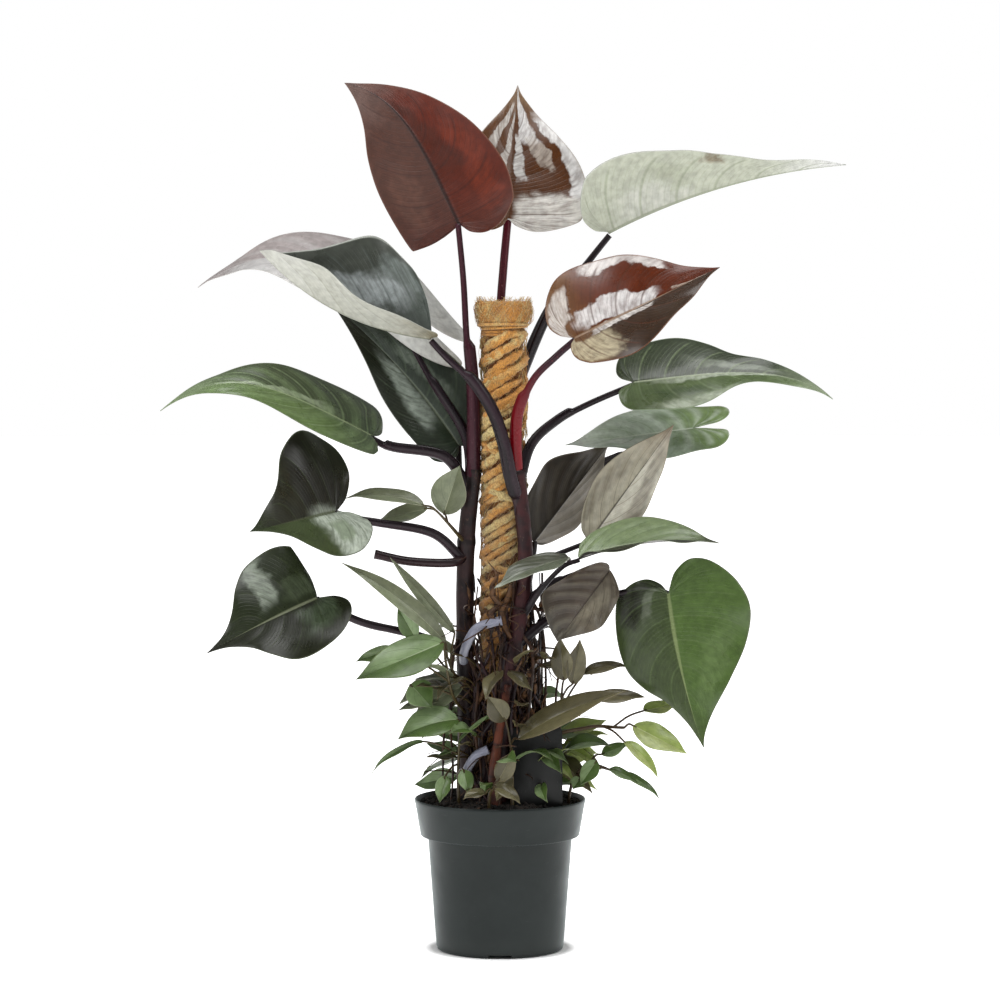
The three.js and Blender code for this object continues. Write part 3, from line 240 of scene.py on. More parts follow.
LEAVES = [
    dict(
        name="leaf_01", kind=("heart", "broad"), base=(-45, -15, 805), tip=(-173, 40, 962),
        face=(0.1, 1, 0.2), halves=(74, 73), hook=-0.12, fold=(18, 14), cup=(-20, -10), lobes=(0.55, 0.1),
        radii=(8.5, 3.4), sheath=0.55,
        path=((-30, -8, 520), (-29, -12, 573), (-30, -14, 630), (-35, -15, 687), (-39, -15, 743)),
    ),
    dict(
        name="leaf_02", base=(9, 40, 812), tip=(20, 100, 963), face=(0.1, -0.88, 0.46), halves=(64, 88),
        fold=(22, 15), cup=(-20, -15), lobes=(0.6, 0.5), radii=(8, 4.4), sheath=0.45,
        path=((3, 38, 592), (0, 40, 620), (0, 42, 700), (4, 42, 760)),
    ),
    dict(
        name="leaf_03", kind="tail", base=(120, 25, 796), tip=(387, 60, 872), face=(0, 0, 1),
        halves=(70, 76), bow=0.05, fold=(35, 72), cup=(-15, -10), lobes=(0.1, 0.5), radii=(7.5, 3.6),
        sheath=0.6, seat=0.7,
        path=((6, 38, 590), (28, 34, 650), (58, 30, 715), (100, 26, 768)),
    ),
    dict(
        name="leaf_04", kind="ovate", base=(81, -70, 680), tip=(239, -60, 757), face=(-0.2, -0.75, 0.6),
        halves=(77, 70), fold=(20, 20), cup=(-12, -8), lobes=(1.1, 0.6), radii=(7.5, 3.6), sheath=0.5,
        path=((18, -33, 530), (17, -38, 565), (20, -44, 600), (36, -54, 636), (60, -63, 660)),
    ),
    dict(
        name="leaf_05", kind="tail", base=(148, 10, 630), tip=(370, 20, 611), face=(0, -0.65, 0.76),
        halves=(62, 54), curl=0.13, fold=(8, 8), cup=(-12, -12), lobes=(0.6, 0.5), radii=(7, 3.4),
        sheath=0.62,
        path=((20, -31, 520), (34, -14, 563), (64, 4, 590), (97, 10, 607)),
    ),
    dict(
        name="leaf_06", base=(218, 90, 576), tip=(72, 20, 560), face=(0, -0.6, 0.8), halves=(42, 50),
        fold=(5, 12), cup=(-20, -25), lobes=(1.3, 1.9), radii=(6.5, 3.2), sheath=0.5,
        path=((2, 38, 470), (60, 80, 510), (140, 100, 545), (200, 100, 565)),
    ),
    dict(
        name="leaf_07", kind="lance", base=(37, 0, 454), tip=(122, 48, 560), face=(-0.5, 0.8, 0.4),
        halves=(40, 50), fold=(10, 15), cup=(-10, -10), radii=(4.5, 3), sheath=0.5,
        path=((28, -27, 425), (36, -10, 440)),
    ),
    dict(
        name="leaf_08", kind="lance", base=(98, -18, 456), tip=(192, -8, 584), face=(-0.3, 0.9, 0.3),
        halves=(37, 37), fold=(12, 12), cup=(-10, -10), radii=(5, 2.8), sheath=0.4,
        path=((27, -29, 430), (56, -26, 440)),
    ),
    dict(
        name="leaf_09", kind="lance", base=(86, -58, 440), tip=(240, -55, 456), face=(0, -0.1, 1),
        halves=(42, 36), bow=0.06, fold=(38, 12), cup=(-10, -10), radii=(4.5, 2.6), sheath=0.4,
        path=((24, -31, 372), (44, -44, 404), (68, -54, 430)),
    ),
    dict(
        name="leaf_10", kind="lance", base=(75, -84, 442), tip=(-6, -122, 412), face=(0, -0.3, 0.95),
        halves=(22, 22), bow=0.05, cup=(-10, -10), radii=(4, 2.4), sheath=0.4,
        path=((26, -31, 418), (38, -40, 434), (54, -54, 443), (68, -71, 441)),
    ),
    dict(
        name="leaf_11", kind=("lance", "scoop"), base=(120, -50, 426), tip=(62, -95, 352),
        face=(0.5, -0.75, 0.1), halves=(32, 50), fold=(12, 12), cup=(-10, -10), radii=(4.5, 2.6),
        sheath=0.4,
        path=((24, -31, 388), (60, -30, 412), (98, -38, 426)),
    ),
    dict(
        name="leaf_12", kind=("heart", "drip"), base=(184, -60, 401), tip=(222, -85, 234),
        face=(0.15, -0.9, 0.3), halves=(88, 71), sweep=0.03, fold=(10, -20), cup=(-12, -40),
        lobes=(1.15, 0.6), radii=(6, 3.6), sheath=0.4,
        path=((16, -34, 340), (66, -26, 378), (130, -36, 400), (168, -46, 404)),
    ),
    dict(
        name="leaf_13", kind="drip", base=(-200, -60, 396), tip=(-320, -80, 337), face=(-0.1, -0.8, 0.5),
        halves=(64, 76), bow=0.03, fold=(15, 10), cup=(-20, -10), lobes=(1.2, 0.15), radii=(6, 4.4),
        sheath=0.4,
        path=((-38, -8, 330), (-90, -25, 352), (-150, -40, 368), (-185, -48, 385)),
    ),
    dict(
        name="leaf_14", kind=("drip", "round"), base=(-180, -50, 490), tip=(-267, -150, 475),
        face=(0.45, -0.8, 0.35), halves=(62, 96), fold=(35, 5), cup=(-20, -10), lobes=(1.3, 1.35),
        radii=(6.5, 4.5), sheath=0.5,
        path=((-37, -8, 430), (-72, -18, 464), (-125, -28, 476), (-160, -36, 482)),
    ),
    dict(
        name="leaf_15", kind=("ovate", "heart"), base=(-141, -5, 571), tip=(-372, -40, 600),
        face=(0, -0.6, 0.8), halves=(40, 58), curl=0.22, fold=(6, 5), cup=(-15, -10), lobes=(0.3, 0.3),
        radii=(7.5, 3.8), sheath=0.75,
        path=((-35, -5, 515), (-62, -8, 550), (-118, -8, 560)),
    ),
    dict(
        name="leaf_16", kind=("scoop", "lance"), base=(-75, -50, 680), tip=(-260, -80, 775),
        face=(0.1, -0.3, 0.95), halves=(68, 94), bow=-0.1, fold=(45, 68), cup=(-5, -20), radii=(8, 3.6),
        sheath=0.7,
        path=(
            (18, -34, 505), (11, -43, 530), (4, -48, 565), (-8, -51, 600), (-30, -52, 634),
            (-58, -51, 660),
        ),
    ),
    dict(
        name="leaf_17", base=(-110, 45, 716), tip=(-341, 90, 735), face=(0, -0.55, 0.83), halves=(70, 62),
        bow=0.22, fold=(10, 10), lobes=(1.6, 1.6), radii=(7, 3.4), sheath=0.5,
        path=((-31, 0, 520), (-38, 8, 572), (-74, 10, 632), (-102, 22, 684)),
    ),
    dict(
        name="leaf_18", kind="ovate", base=(-46, 22, 560), tip=(-190, 45, 718), face=(-0.3, -0.75, 0.6),
        halves=(42, 56), sweep=0.04, lobes=(0.5, 0.5), radii=(6, 3.6), sheath=0.4,
        path=((-36, 2, 488), (-44, 18, 524)),
    ),
]

STEMS = [
    dict(
        name="stem_left", radii=(11, 9),
        path=(
            (-30, -16, 70), (-34, -12, 160), (-38, -8, 280), (-39, -6, 400), (-36, -5, 470),
            (-29, -8, 535),
        ),
        roots=(
            ((-40, -6, 360), (-52, -20, 330), (-56, -28, 260), (-52, -34, 200), (-56, -36, 152)),
            ((-38, -8, 330), (-24, -34, 300), (-26, -42, 250), (-20, -44, 200), (-24, -50, 152)),
            ((-38, -8, 300), (-58, -2, 260), (-62, 4, 210), (-64, 6, 152)),
        ),
        stubs=(
            ((-40, -8, 318), (-39, -32, 336), (-27, -42, 360), (-8, -44, 368), (2, -44, 370)),
            ((-35, -12, 190), (-36, -40, 205), (-26, -52, 222), (-13, -54, 229)),
            ((-38, -8, 438), (-54, -22, 432), (-100, -28, 434), (-138, -30, 442)),
        ),
    ),
    dict(
        name="stem_right", radii=(9.5, 8.5),
        path=((2, -42, 70), (1, -38, 200), (8, -36, 290), (21, -32, 370), (28, -28, 440), (19, -32, 535)),
        roots=(
            ((26, -30, 400), (44, -24, 370), (52, -20, 300), (46, -26, 230), (54, -30, 152)),
            ((20, -32, 360), (34, -42, 330), (33, -43, 270), (24, -43, 210), (26, -44, 152)),
            ((14, -34, 330), (-5, -44, 300), (-4, -51, 240), (0, -58, 190), (-3, -64, 152)),
            ((26, -30, 385), (60, -18, 372), (66, -14, 320), (62, -20, 270), (66, -22, 152)),
        ),
        stubs=(),
    ),
    dict(
        name="stem_back", radii=(10, 8.5),
        path=((12, 44, 70), (10, 40, 250), (2, 38, 430), (3, 38, 600)),
        roots=(
            ((8, 40, 420), (30, 44, 380), (40, 40, 300), (36, 44, 220), (44, 50, 152)),
            ((4, 40, 380), (-22, 40, 340), (-34, 30, 260), (-30, 36, 200), (-40, 44, 152)),
        ),
        stubs=(),
    ),
]

# Sprays of small leaves. A leaf's row: where on the spray's stem it starts, from 0 to 1, its base,
# its tip, the way that it faces, its halves and its bow.
SHOOTS = [
    dict(
        name="shoot_left_top", radii=(2.4, 1.4),
        path=((-38, -8, 452), (-52, -24, 470), (-66, -30, 486)),
        leaves=(
            (1, (-84, -34, 496), (-172, -12, 502), (0, -0.5, 0.85), (12, 14), 0.1),
            (0.7, (-62, -20, 486), (-44, -30, 540), (-0.3, -0.9, 0.1), (22, 20), 0),
            (0.9, (-80, -22, 492), (-134, -6, 478), (0, -0.8, 0.5), (10, 12), 0),
        ),
    ),
    dict(
        name="shoot_left_long", radii=(2.2, 1.4),
        path=((-38, -10, 300), (-50, -36, 310), (-58, -44, 330)),
        leaves=(
            (1, (-60, -48, 346), (-175, -62, 436), (-0.4, -0.6, 0.6), (10, 12), 0.16),
            (0.8, (-50, -40, 356), (-122, -34, 440), (-0.5, -0.5, 0.6), (7, 8), 0.08),
        ),
    ),
    dict(
        name="shoot_left_bright", radii=(2.2, 1.4),
        path=((-36, -12, 262), (-52, -46, 288), (-60, -60, 330)),
        leaves=(
            (1, (-62, -64, 348), (-157, -92, 310), (-0.2, -0.8, 0.6), (26, 24), 0),
            (0.85, (-92, -58, 352), (-112, -60, 386), (-0.2, -1, 0), (11, 11), 0),
            (0.7, (-118, -52, 340), (-158, -56, 326), (-0.4, -0.7, 0.5), (10, 9), 0),
            (0.5, (-98, -50, 300), (-74, -64, 276), (0, -1, 0.2), (17, 15), 0),
        ),
    ),
    dict(
        name="shoot_left_low", radii=(2.4, 1.2),
        path=((-44, -40, 120), (-46, -44, 200), (-44, -50, 250)),
        leaves=(
            (1, (-46, -54, 262), (-112, -72, 242), (-0.2, -0.7, 0.7), (20, 24), 0.1),
            (0.7, (-84, -40, 236), (-141, -48, 202), (-0.3, -0.5, 0.8), (6, 6), 0.12),
            (0.6, (-60, -56, 200), (-66, -68, 172), (-0.3, -1, 0.3), (9, 9), 0),
            (0.5, (-40, -64, 208), (-34, -76, 182), (0.3, -1, 0.3), (9, 9), 0),
        ),
    ),
    dict(
        name="shoot_front", radii=(2.6, 1.4),
        path=((14, -62, 120), (13, -60, 200), (12, -56, 236)),
        leaves=(
            (1, (20, -66, 242), (137, -92, 298), (-0.1, -0.6, 0.8), (20, 20), 0.06),
            (0.9, (6, -62, 262), (-14, -72, 290), (0.1, -1, 0.1), (13, 13), 0),
            (0.5, (10, -70, 206), (-4, -84, 176), (-0.2, -1, 0.2), (10, 10), 0),
        ),
    ),
    dict(
        name="shoot_right_upright", radii=(2.4, 1.3),
        path=((60, -30, 120), (64, -34, 220), (68, -40, 290)),
        leaves=(
            (1, (70, -42, 304), (66, -46, 352), (-0.4, -1, 0), (13, 13), 0),
            (0.95, (80, -42, 300), (88, -44, 350), (0.4, -1, 0), (12, 12), 0),
            (0.85, (92, -36, 310), (141, -34, 318), (0, -0.6, 0.8), (9, 9), 0.12),
            (0.75, (104, -46, 284), (160, -50, 286), (0, -0.7, 0.7), (10, 10), 0.06),
        ),
    ),
    dict(
        name="shoot_right_lime", radii=(2.8, 1.6),
        path=((38, -36, 140), (50, -35, 230), (96, -46, 252), (136, -62, 254)),
        leaves=(
            (1, (146, -62, 256), (204, -84, 228), (-0.1, -0.7, 0.7), (16, 16), 0),
            (0.9, (158, -40, 270), (198, -20, 276), (0, -0.6, 0.8), (11, 11), 0),
            (0.8, (136, -76, 240), (172, -92, 202), (0, -0.6, 0.8), (8, 8), 0.14),
        ),
    ),
    dict(
        name="shoot_right_small", radii=(2.2, 1.2),
        path=((70, -22, 120), (80, -30, 190), (100, -38, 214)),
        leaves=(
            (1, (112, -42, 222), (142, -46, 234), (0, -0.7, 0.7), (9, 9), 0),
            (0.95, (106, -50, 216), (88, -60, 190), (-0.1, -0.9, 0.4), (10, 10), 0),
            (0.85, (120, -46, 206), (152, -50, 190), (0, -0.6, 0.8), (7, 7), 0.1),
            (0.8, (132, -36, 200), (176, -40, 172), (0, -0.6, 0.8), (6, 6), 0.14),
            (0.6, (88, -46, 196), (80, -62, 186), (0, -0.9, 0.4), (8, 8), 0),
        ),
    ),
    dict(
        name="shoot_rim", radii=(2.4, 1.4),
        path=((-12, -70, 120), (-12, -76, 176), (-8, -84, 190)),
        leaves=(
            (1, (-4, -92, 192), (22, -104, 176), (-0.1, -0.5, 0.85), (9, 9), 0.15),
            (0.9, (-16, -92, 186), (-40, -98, 180), (0, -0.5, 0.85), (8, 8), 0.15),
            (0.8, (-2, -82, 198), (16, -84, 232), (0.1, -1, 0), (11, 11), 0),
        ),
    ),
    dict(
        name="shoot_back", radii=(2.6, 1.4),
        path=((-14, 62, 120), (-18, 68, 200), (-12, 74, 250)),
        leaves=(
            (1, (-10, 78, 262), (20, 130, 292), (0.1, 0.3, 1), (20, 20), 0),
            (0.9, (-30, 76, 246), (-92, 104, 252), (0, 0.4, 0.9), (18, 18), 0),
            (0.7, (2, 86, 226), (62, 118, 214), (0.2, 0.4, 0.9), (16, 16), 0.1),
            (0.5, (-40, 72, 202), (-90, 84, 178), (-0.3, 0.4, 0.9), (12, 12), 0.1),
        ),
    ),
]


def paint(red, green, blue):
    """A colour given as it looks in the light, 0 to 255, as the linear colour that a shader takes."""
    linear = []
    for value in (red, green, blue):
        share = value / 255
        level = share / 12.92 if share <= 0.04045 else ((share + 0.055) / 1.055) ** 2.4
        linear.append(SHADE * level)
    return (*linear, 1)


def step(value, low, high):
    """0 below low, 1 above high and smooth between. High may be the smaller one."""
    share = min(max((value - low) / (high - low), 0), 1)
    return share * share * (3 - 2 * share)


def smooth(rows, t):
    """The point at t, from 0 to 1, on a smooth curve through rows of numbers."""
    at = min(max(t, 0), 1) * (len(rows) - 1)
    i = min(int(at), len(rows) - 2)
    f = at - i
    point = []
    for k, b in enumerate(rows[i]):
        c = rows[i + 1][k]
        a = rows[i - 1][k] if i > 0 else 2 * b - c
        d = rows[i + 2][k] if i + 2 < len(rows) else 2 * c - b
        square = 2 * a - 5 * b + 4 * c - d
        cube = 3 * b - 3 * c + d - a
        point.append(0.5 * (2 * b + (c - a) * f + square * f * f + cube * f * f * f))
    return point


def turns(count):
    """Angles evenly round a circle."""
    return [2 * math.pi * k / count for k in range(count)]


def shares(steps):
    """Evenly from 0 to 1 in so many steps."""
    return [k / steps for k in range(steps + 1)]


def polar(radius, angle, z=0, x=0, y=0):
    """A place round the upright axis through x and y."""
    return Vector((x + radius * math.cos(angle), y + radius * math.sin(angle), z))


def beside_pole(radius, angle, z):
    return polar(radius, angle, z, POLE["x"], POLE["y"])


def off_pole(point, rise=0):
    """The direction straight away from the pole at a point."""
    return Vector((point[0] - POLE["x"], point[1] - POLE["y"], rise)).normalized()


def turned_by(angle):
    return Matrix.Rotation(angle, 3, "Z")


def add_object(name, points, faces):
    """A mesh object from points in millimetres."""
    mesh = bpy.data.meshes.new(name)
    mesh.from_pydata([tuple(value * MM for value in point) for point in points], [], faces)
    piece = bpy.data.objects.new(name, mesh)
    bpy.context.scene.collection.objects.link(piece)
    return piece


class Shape:
    """The points and faces of one piece, with two surface maps and a material for each face."""

    def __init__(self):
        self.points = []
        self.faces = []
        self.kinds = []
        self.first = []
        self.second = []

    def face(self, corners, kind=0):
        """Adds a face from corners of (point index, first map, second map), without repeats."""
        kept = []
        for corner in corners:
            if all(corner[0] != other[0] for other in kept):
                kept.append(corner)
        if len(kept) < 3:
            return
        self.faces.append([corner[0] for corner in kept])
        self.kinds.append(kind)
        self.first.extend(corner[1] for corner in kept)
        self.second.extend(corner[2] for corner in kept)

    def weave(self, corner, rows, columns, kind=0, flip=False):
        """Faces between rows and columns of corners, each of which corner(i, j) gives."""
        for i in range(rows):
            for j in range(columns):
                quad = (corner(i, j), corner(i, j + 1), corner(i + 1, j + 1), corner(i + 1, j))
                self.face(quad[::-1] if flip else quad, kind)

    def skin(self, rings, mark=None, kind=0):
        """A closed tube through rings. mark is the first map's value, which else runs along and round."""
        start = len(self.points)
        n = len(rings[0])
        last = len(rings) - 1
        for ring in rings:
            self.points.extend(ring)

        def corner(i, j):
            place = (i / last, j / n)
            return (start + i * n + j % n, mark or place, place)

        self.weave(corner, last, n, kind)
        self.face([corner(0, j) for j in reversed(range(n))], kind)
        self.face([corner(last, j) for j in range(n)], kind)

    def make(self, name, materials, slot, replaces=()):
        """Turns the shape into a piece that rides on the part."""
        piece = add_object(name, self.points, self.faces)
        mesh = piece.data
        for map_name, values in (("veins", self.first), ("place", self.second)):
            layer = mesh.uv_layers.new(name=map_name)
            layer.data.foreach_set("uv", [value for pair in values for value in pair])
        for material in materials:
            mesh.materials.append(material)
        mesh.polygons.foreach_set("material_index", self.kinds)
        mesh.shade_smooth()
        mesh.validate()
        mesh.update()
        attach(piece, "root")
        if replaces:
            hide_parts(*replaces)
        return piece


# Blades and tubes
def midrib(leaf, x):
    """The midrib's place and directions at x, which runs from 0 at the base to 1 at the tip."""
    base = Vector(leaf["base"])
    chord = Vector(leaf["tip"]) - base
    length = chord.length
    along = chord.normalized()
    face = Vector(leaf["face"])
    face = (face - along * face.dot(along)).normalized()
    right = along.cross(face)
    inside = min(max(x, 0), 1)
    near = 4 * inside * (1 - inside)
    near_slope = 4 * (1 - 2 * inside)
    far = 2.1 * (inside - inside ** 4)
    far_slope = 2.1 * (1 - 4 * inside ** 3)
    tangent = chord + length * (leaf["bow"] * near_slope + leaf["curl"] * far_slope) * face
    tangent += length * (leaf["sweep"] * near_slope + leaf["hook"] * far_slope) * right
    place = base + chord * inside + length * (leaf["bow"] * near + leaf["curl"] * far) * face
    place += length * (leaf["sweep"] * near + leaf["hook"] * far) * right
    place += tangent * (x - inside)
    tangent.normalize()
    up = (face - tangent * face.dot(tangent)).normalized()
    return place, up, tangent.cross(up)


def rib_at(t):
    """How far along the midrib the row at t starts."""
    return 0 if t < FAN else ((t - FAN) / (1 - FAN)) ** 1.2


def edge_at(leaf, hand, t):
    """Where the outline of a leaf's half is at t, along the midrib and across."""
    kind = leaf["kind"]
    return smooth(OUTLINES[kind if isinstance(kind, str) else kind[hand]], t)


def blade_point(leaf, hand, t, v, ripple):
    """One point of a blade's middle surface, and how far along the leaf it is."""
    edge_x, edge_width = edge_at(leaf, hand, t)
    lobe_x = edge_x * leaf["lobes"][hand] if edge_x < 0 else edge_x
    half = leaf["halves"][hand]
    x = rib_at(t) + (lobe_x - rib_at(t)) * v ** 1.3
    out = max(edge_width * half * v, 0)
    place, up, side = midrib(leaf, x)
    fold = math.radians(leaf["fold"][hand])
    bend = math.radians(leaf["cup"][hand]) / half
    across = (math.sin(fold + bend * out) - math.sin(fold)) / bend
    height = (math.cos(fold) - math.cos(fold + bend * out)) / bend
    wave_height, wave_count, wave_phase = leaf["wave"]
    margin = min(1, 3 * edge_width)
    wave = math.sin(2 * math.pi * wave_count * x + wave_phase + 0.7 * hand)
    height += wave_height * v * v * margin * wave
    height += ripple * v ** 3 * margin * math.sin(23 * t + 2.1 * hand + 0.02 * half * half)
    return place + side * (1 if hand else -1) * across + up * height, x


def relief_at(leaf, make, hand, t, v):
    """How far the blade stands up at t and v from its veins."""
    s = t - VEIN_SWEEP * v ** 1.5
    field = abs(math.sin(math.pi * make["veins"] * s)) ** 0.7 - 0.6
    reach = step(v, 0.03, 0.25) * (1 - step(v, 0.84, 0.98)) * min(1, 2.5 * edge_at(leaf, hand, t)[1])
    rib = math.exp(-((v / make["rib_width"]) ** 2)) * (1 - t)
    return make["field"] * field * reach - make["rib"] * rib


def add_blade(shape, leaf, make, kinds=(0, 1)):
    """Adds a closed blade. make is BIG or SMALL, and kinds are its materials, above and below."""
    rows = make["rows"]
    middle = len(make["columns"]) - 1
    width = 2 * middle + 1
    spots = [(0 if j < middle else 1, make["columns"][abs(j - middle)]) for j in range(width)]
    grid = []
    along_leaf = []
    for i in range(rows + 1):
        made = [blade_point(leaf, hand, i / rows, v, make["ripple"]) for hand, v in spots]
        grid.append([point for point, _ in made])
        along_leaf.append([x for _, x in made])

    def normal_at(i, j):
        if j == middle or i == rows:
            return midrib(leaf, rib_at(i / rows))[1]
        along = grid[i + 1][j] - grid[max(i - 1, 0)][j]
        across = grid[i][min(j + 1, width - 1)] - grid[i][max(j - 1, 0)]
        return across.cross(along).normalized()

    normals = [[normal_at(i, j) for j in range(width)] for i in range(rows + 1)]
    start = len(shape.points)
    for side in (1, -1):
        for i in range(rows + 1):
            t = i / rows
            for j, (hand, v) in enumerate(spots):
                keel = 0
                if side < 0 and t > FAN:
                    keel = make["keel"] * (1 - t) * math.exp(-((v / KEEL_WIDTH) ** 2))
                thin = 1 - 0.45 * step(v, 0.9, 1)
                depth = side * (make["thickness"] / 2 * thin + keel) + relief_at(leaf, make, hand, t, v)
                shape.points.append(grid[i][j] + normals[i][j] * depth)

    def corner(side, i, j):
        hand, v = spots[j]
        across = 0.5 + 0.5 * (v if hand else -v)
        row = 0 if j == middle and i / rows < FAN else i
        column = j if i < rows else middle
        index = start + (0 if side > 0 else (rows + 1) * width) + row * width + column
        return (index, (i / rows - VEIN_SWEEP * v ** 1.5, across), (along_leaf[i][j], across))

    shape.weave(lambda i, j: corner(1, i, j), rows, width - 1, kinds[0])
    shape.weave(lambda i, j: corner(-1, i, j), rows, width - 1, kinds[1], flip=True)
    rim = [(0, j) for j in range(width - 1, -1, -1)]
    rim += [(i, 0) for i in range(1, rows + 1)]
    rim += [(i, width - 1) for i in range(rows, -1, -1)]
    for here, there in zip(rim, rim[1:]):
        shape.face((corner(1, *here), corner(1, *there), corner(-1, *there), corner(-1, *here)), kinds[0])


def add_tube(shape, path, made, radius_at, kind=0, shift_at=None):
    """A tube of one of the kinds in TUBES.

    radius_at(t, angle) gives its radius, and shift_at(t) its shift towards its upper side.
    """
    steps, sides = TUBES[made]
    rings = []
    for i in range(steps + 1):
        t = i / steps
        centre = Vector(smooth(path, t))
        ahead = min(t + 0.01, 1)
        along = (Vector(smooth(path, ahead)) - Vector(smooth(path, ahead - 0.02))).normalized()
        upper = Vector((POLE["x"] - centre.x, POLE["y"] - centre.y, 60)).normalized()
        upper = (upper - along * upper.dot(along)).normalized()
        across = along.cross(upper)
        shift = shift_at(t) if shift_at else 0
        ring = []
        for angle in turns(sides):
            radius = radius_at(t, angle)
            place = centre + upper * (math.cos(angle) * radius + shift)
            ring.append(place + across * math.sin(angle) * radius)
        rings.append(ring)
    shape.skin(rings, kind=kind)


def taper(first, last):
    """A tube's radius that runs evenly from first to last."""
    return lambda t, angle: first + (last - first) * t


# Materials
class Value:
    """A number that varies over a surface, with the arithmetic that its nodes can do."""

    def __init__(self, nodes, socket):
        self.nodes = nodes
        self.socket = socket

    def math(self, operation, other=0.0):
        return self.nodes.value("ShaderNodeMath", (self, other), operation=operation)

    def __add__(self, other):
        return self.math("ADD", other)

    def __sub__(self, other):
        return self.math("SUBTRACT", other)

    def __mul__(self, other):
        return self.math("MULTIPLY", other)

    def __abs__(self):
        return self.math("ABSOLUTE")

    def zigzag(self):
        """Up to 0.5 and back to 0, over and over."""
        return self.math("PINGPONG", 0.5)

    def ramp(self, low, high, to_low=0.0, to_high=1.0):
        """Smoothly from to_low at low to to_high at high. High may be the smaller one."""
        if low > high:
            low, high, to_low, to_high = high, low, to_high, to_low
        given = (self, low, high, to_low, to_high)
        return self.nodes.value("ShaderNodeMapRange", given, interpolation_type="SMOOTHSTEP")


class Nodes:
    """A node tree, with short calls for the nodes that are used here."""

    def __init__(self, tree):
        self.tree = tree

    def put(self, given, socket):
        if isinstance(given, Value):
            self.tree.links.new(given.socket, socket)
        else:
            socket.default_value = given

    def value(self, kind, inputs=(), output=0, **settings):
        """What a new node gives. inputs are for its first sockets, or by name or number."""
        node = self.tree.nodes.new(kind)
        for key, setting in settings.items():
            setattr(node, key, setting)
        if not isinstance(inputs, dict):
            inputs = dict(enumerate(inputs))
        for key, given in inputs.items():
            self.put(given, node.inputs[key])
        return Value(self, node.outputs[output])

    def place(self, space="Object"):
        return self.value("ShaderNodeTexCoord", output=space)

    def parts(self, vector):
        """The three coordinates of a vector."""
        node = self.value("ShaderNodeSeparateXYZ", (vector,)).socket.node
        return [Value(self, output) for output in node.outputs]

    def vector(self, x, y, z=0.0):
        return self.value("ShaderNodeCombineXYZ", (x, y, z))


class Surface(Nodes):
    """A material whose colour is laid on in coats."""

    def __init__(self, name):
        self.material = bpy.data.materials.new(name)
        self.material.use_nodes = True
        super().__init__(self.material.node_tree)
        self.shader = self.tree.nodes["Principled BSDF"]

    def mix(self, share, a, b, blend="MIX"):
        given = {0: share, 6: a, 7: b}
        return self.value("ShaderNodeMix", given, 2, data_type="RGBA", blend_type=blend)

    def base(self, share, first, second):
        """Starts the colour, from one tone to another."""
        self.colour = self.mix(share, paint(*first), paint(*second))

    def lay(self, share, tone):
        """Lays a tone over the colour so far."""
        self.colour = self.mix(share, self.colour, paint(*tone))

    def map(self, name):
        """The two coordinates of a surface map."""
        return self.parts(self.value("ShaderNodeUVMap", uv_map=name))[:2]

    def spots(self, scale, detail, stretch=(1, 1, 1), where=None, rough=0.55):
        """Noise around 0.5, in the object's own space unless where is given."""
        mapped = self.value("ShaderNodeMapping", {0: where or self.place(), "Scale": stretch})
        given = {"Vector": mapped, "Scale": scale, "Detail": detail, "Roughness": rough}
        return self.value("ShaderNodeTexNoise", given)

    def bump(self, height, distance, strength, after=None):
        given = {"Strength": strength, "Distance": distance, "Height": height}
        if after:
            given["Normal"] = after
        return self.value("ShaderNodeBump", given)

    def finish(self, roughness, normal=None, **values):
        self.put(self.colour, self.shader.inputs["Base Color"])
        self.put(roughness, self.shader.inputs["Roughness"])
        if normal:
            self.put(normal, self.shader.inputs["Normal"])
        for key, value in values.items():
            self.shader.inputs[key.replace("_", " ")].default_value = value
        return self.material


